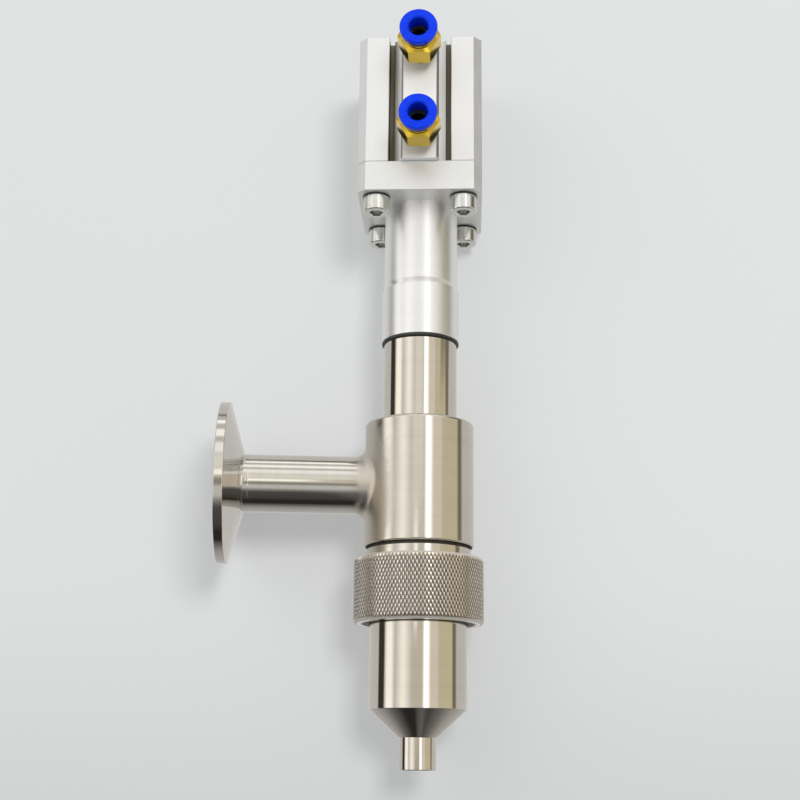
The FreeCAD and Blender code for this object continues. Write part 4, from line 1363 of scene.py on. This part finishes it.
def panel(name, turns, rises, colour, soft=(3, 3), soft_ends=(5, 5), distance=1.6):
    """Curved glowing panel round the object, between two turns from the camera's side and two
    rises, all in degrees. Its edges fade out over soft, and its ends over soft_ends."""
    def around_studio(turn, rise):
        a, e = math.radians(turn), math.radians(rise)
        way = Vector((math.sin(a) * math.cos(e), -math.cos(a) * math.cos(e), math.sin(e)))
        return studio_centre + way * distance

    def shares(ends, fades):
        return [(ends[0], 0.0), (ends[0] + fades[0], 1.0), (ends[1] - fades[1], 1.0), (ends[1], 0.0)]

    fading_sheet(name, shares(turns, soft), shares(rises, soft_ends), around_studio, colour)


panel("dark_gap", (-105, -81), (-35, 25), (0.05, 0.043, 0.037), (4, 4), (5, 5), 1.3)
panel("left_window", (-82, -53), (-30, 28), (1.40, 1.35, 1.29), (7, 10), (5, 8))
panel("left_softbox", (-54, -12), (-30, 28), (1.28, 1.24, 1.17), (18, 18), (5, 8), 1.5)
panel("camera_side", (-16, 13), (-14, 11), (0.70, 0.655, 0.565), (6, 1), (8, 7), 1.4)
panel("camera_side_high", (-16, 13), (0, 30), (0.94, 0.93, 0.85), (6, 5), (8, 6), 1.5)
panel("key_strip", (12, 31), (-22, 34), (2.1, 2.08, 2.05), (6, 8), (4, 6), 1.3)
panel("right_glow", (25, 52), (-25, 26), (0.86, 0.79, 0.71), (3, 5), (5, 6), 1.4)
panel("warm_wall", (46, 104), (-30, 24), (0.70, 0.635, 0.465), (5, 8), (5, 6))
panel("dark_post", (87, 104), (-16, 34), (0.22, 0.195, 0.145), (4, 6), (12, 10), 1.2)
panel("lens_shade", (-14, 18), (-18, -4), (0.34, 0.32, 0.29), (4, 4), (5, 4), 1.2)
panel("dark_corner", (66, 112), (14, 48), (0.12, 0.11, 0.09), (10, 10), (6, 8), 1.25)
panel("upper_front", (-60, 64), (17, 36), (1.16, 1.16, 1.14), (12, 12), (5, 5), 1.7)
panel("top_front", (-60, 60), (42, 61), (1.30, 1.28, 1.24), (12, 12), (4, 4), 1.7)
panel("ceiling_box", (-60, 60), (68, 88), (1.42, 1.40, 1.36))
panel("ceiling_gap", (-60, 60), (90, 108), (0.22, 0.21, 0.20), (12, 12), (4, 6))

# %% Small bright card over the camera, for the branch alone
near_y = -0.42
near_columns = [(-0.075, 0.0), (-0.055, 1.0), (-0.010, 1.0), (0.006, 0.0)]
near_levels = [(0.076, 0.0), (0.088, 1.0), (0.125, 1.0), (0.160, 0.0)]
fading_sheet("near_card", near_columns, near_levels, lambda x, z: (x, near_y, z), (1.42, 1.40, 1.36))

# %% Dark floor card
card_z = -0.15
card_columns = [
    (-0.50, 0.0), (-0.35, 1.0), (-0.012, 1.0), (0.0, 0.88), (0.017, 0.80), (0.036, 0.92),
    (0.35, 0.94), (0.50, 0.0),
]
card_rows = [
    (-0.46, 0.0), (-0.33, 0.62), (-0.25, 0.9), (-0.10, 0.94), (-0.05, 1.0), (0.010, 1.0), (0.024, 0.90),
    (0.046, 0.80), (0.077, 0.62), (0.126, 0.42), (0.24, 0.27), (0.60, 0.17), (1.20, 0.0),
]
fading_sheet("dark_card", card_columns, card_rows, lambda x, y: (x, y, card_z), (0.03, 0.027, 0.026))

# %% [markdown]
# The floor and the backdrop are one pale paper. A ray that looks at it sees some of its tone as
# a glow, so the shadows on it stay light, and a ray that carries light meets plain matte paper.
# The world works the same way: what it lights with and what is seen of it are two shaders.

# %% Floor and backdrop
paper_colour = (0.62, 0.625, 0.625)
paper_glow = (0.745, 0.755, 0.755)
glow_share = 0.40
paper_shade = (-45, 75)
paper_shade_depth = 0.86


def looking_rays(tree):
    """1 for a ray from the camera, a mirror or glass, and 0 for one that carries light."""
    path = tree.nodes.new("ShaderNodeLightPath")
    labels = ("Is Camera Ray", "Is Glossy Ray", "Is Transmission Ray")
    camera, glossy, glass = [Wire(tree, path.outputs[label]) for label in labels]
    return camera.math("ADD", glossy, clamp=True).math("ADD", glass, clamp=True)


def pale_surface(name):
    """Matte paper that can be looked through from behind, so the back of the object shows.

    The camera also sees a glow in it, of the same tone, so that the shadows stay light. Both
    tones darken a little towards the bottom, as painted shade.
    """
    material = bpy.data.materials.new(name)
    tree = empty_tree(material)
    # Painted shade: the paper's tones darken towards the bottom.
    shade = ramp(place_in_mm(tree)[2], *paper_shade)
    sides = []
    for kind, tone in (("BsdfDiffuse", paper_colour), ("Emission", paper_glow)):
        low_tone = tuple(value * paper_shade_depth for value in tone)
        sides.append(new_node(tree, kind, {"Color": mixed(shade, low_tone, tone)}))
    lit = mixed_shaders(looking_rays(tree) * glow_share, *sides)
    behind = new_node(tree, "NewGeometry", output="Backfacing")
    show(mixed_shaders(behind, lit, new_node(tree, "BsdfTransparent")))
    return material


def sheet_of_paper(name, points):
    mesh = bpy.data.meshes.new(name)
    mesh.from_pydata(points, [], [[0, 1, 2, 3]])
    mesh.materials.append(pale_surface(name))
    paper = add_object(name, mesh)
    hide_from(paper, "diffuse", "glossy", "transmission", "shadow")


floor_z = -0.02
wall_gap = 0.0006
wall_y = cad_high.y + wall_gap
sheet_of_paper("floor", [(-3, -3, floor_z), (3, -3, floor_z), (3, 3, floor_z), (-3, 3, floor_z)])
sheet_of_paper("backdrop", [(-3, wall_y, -2), (3, wall_y, -2), (3, wall_y, 3), (-3, wall_y, 3)])


# %% World and lamps
def make_world():
    """Even light for matte things, and a pale surround for the camera and for mirrors."""
    world = bpy.data.worlds.new("studio")
    bpy.context.scene.world = world
    tree = empty_tree(world)
    light = new_node(tree, "Background", {"Color": (0.60, 0.61, 0.62)})
    seen = new_node(tree, "Background", {"Color": (0.66, 0.655, 0.64)})
    show(mixed_shaders(looking_rays(tree), light, seen), "World")


def lamp(name, place, size, power):
    """Square soft lamp aimed at the middle of the object; mirrors don't show it."""
    data = bpy.data.lights.new(name, "AREA")
    data.size = size
    data.energy = power
    light = add_object(name, data)
    light.location = place
    light.rotation_mode = "QUATERNION"
    light.rotation_quaternion = (studio_centre - Vector(place)).to_track_quat("-Z", "Y")
    hide_from(light, "glossy")


make_world()
lamp("key_lamp", (0.38, -1.22, 0.40), 0.36, 9.5)
lamp("fill_lamp", (-0.9, -0.9, 0.5), 0.9, 3.5)

# %% [markdown]
# The camera stands low in front of the spout and looks up along the nozzle. Its place, its
# turn and its lens were found by matching some eighty outline points of the photograph.

# %% Camera
camera_place = Vector((14.530, -418.715, 1.503)) * MM
camera_yaw = -0.04993
camera_pitch = 0.26294
camera_roll = 0.01129
camera_lens = 61.04


def make_camera():
    ahead = Vector((
        math.sin(camera_yaw) * math.cos(camera_pitch),
        math.cos(camera_yaw) * math.cos(camera_pitch),
        math.sin(camera_pitch),
    ))
    level = Vector((math.cos(camera_yaw), -math.sin(camera_yaw), 0))
    up = level.cross(ahead)
    right = level * math.cos(camera_roll) + up * math.sin(camera_roll)
    above = up * math.cos(camera_roll) - level * math.sin(camera_roll)
    turn = Matrix((right, above, -ahead)).transposed().to_4x4()
    data = bpy.data.cameras.new("camera")
    data.lens = camera_lens
    data.sensor_width = 36.0
    data.clip_start = 0.01
    data.clip_end = 20.0
    camera = add_object("camera", data)
    camera.matrix_world = Matrix.Translation(camera_place) @ turn
    bpy.context.scene.camera = camera


make_camera()
bpy.context.scene.view_settings.view_transform = "Standard"
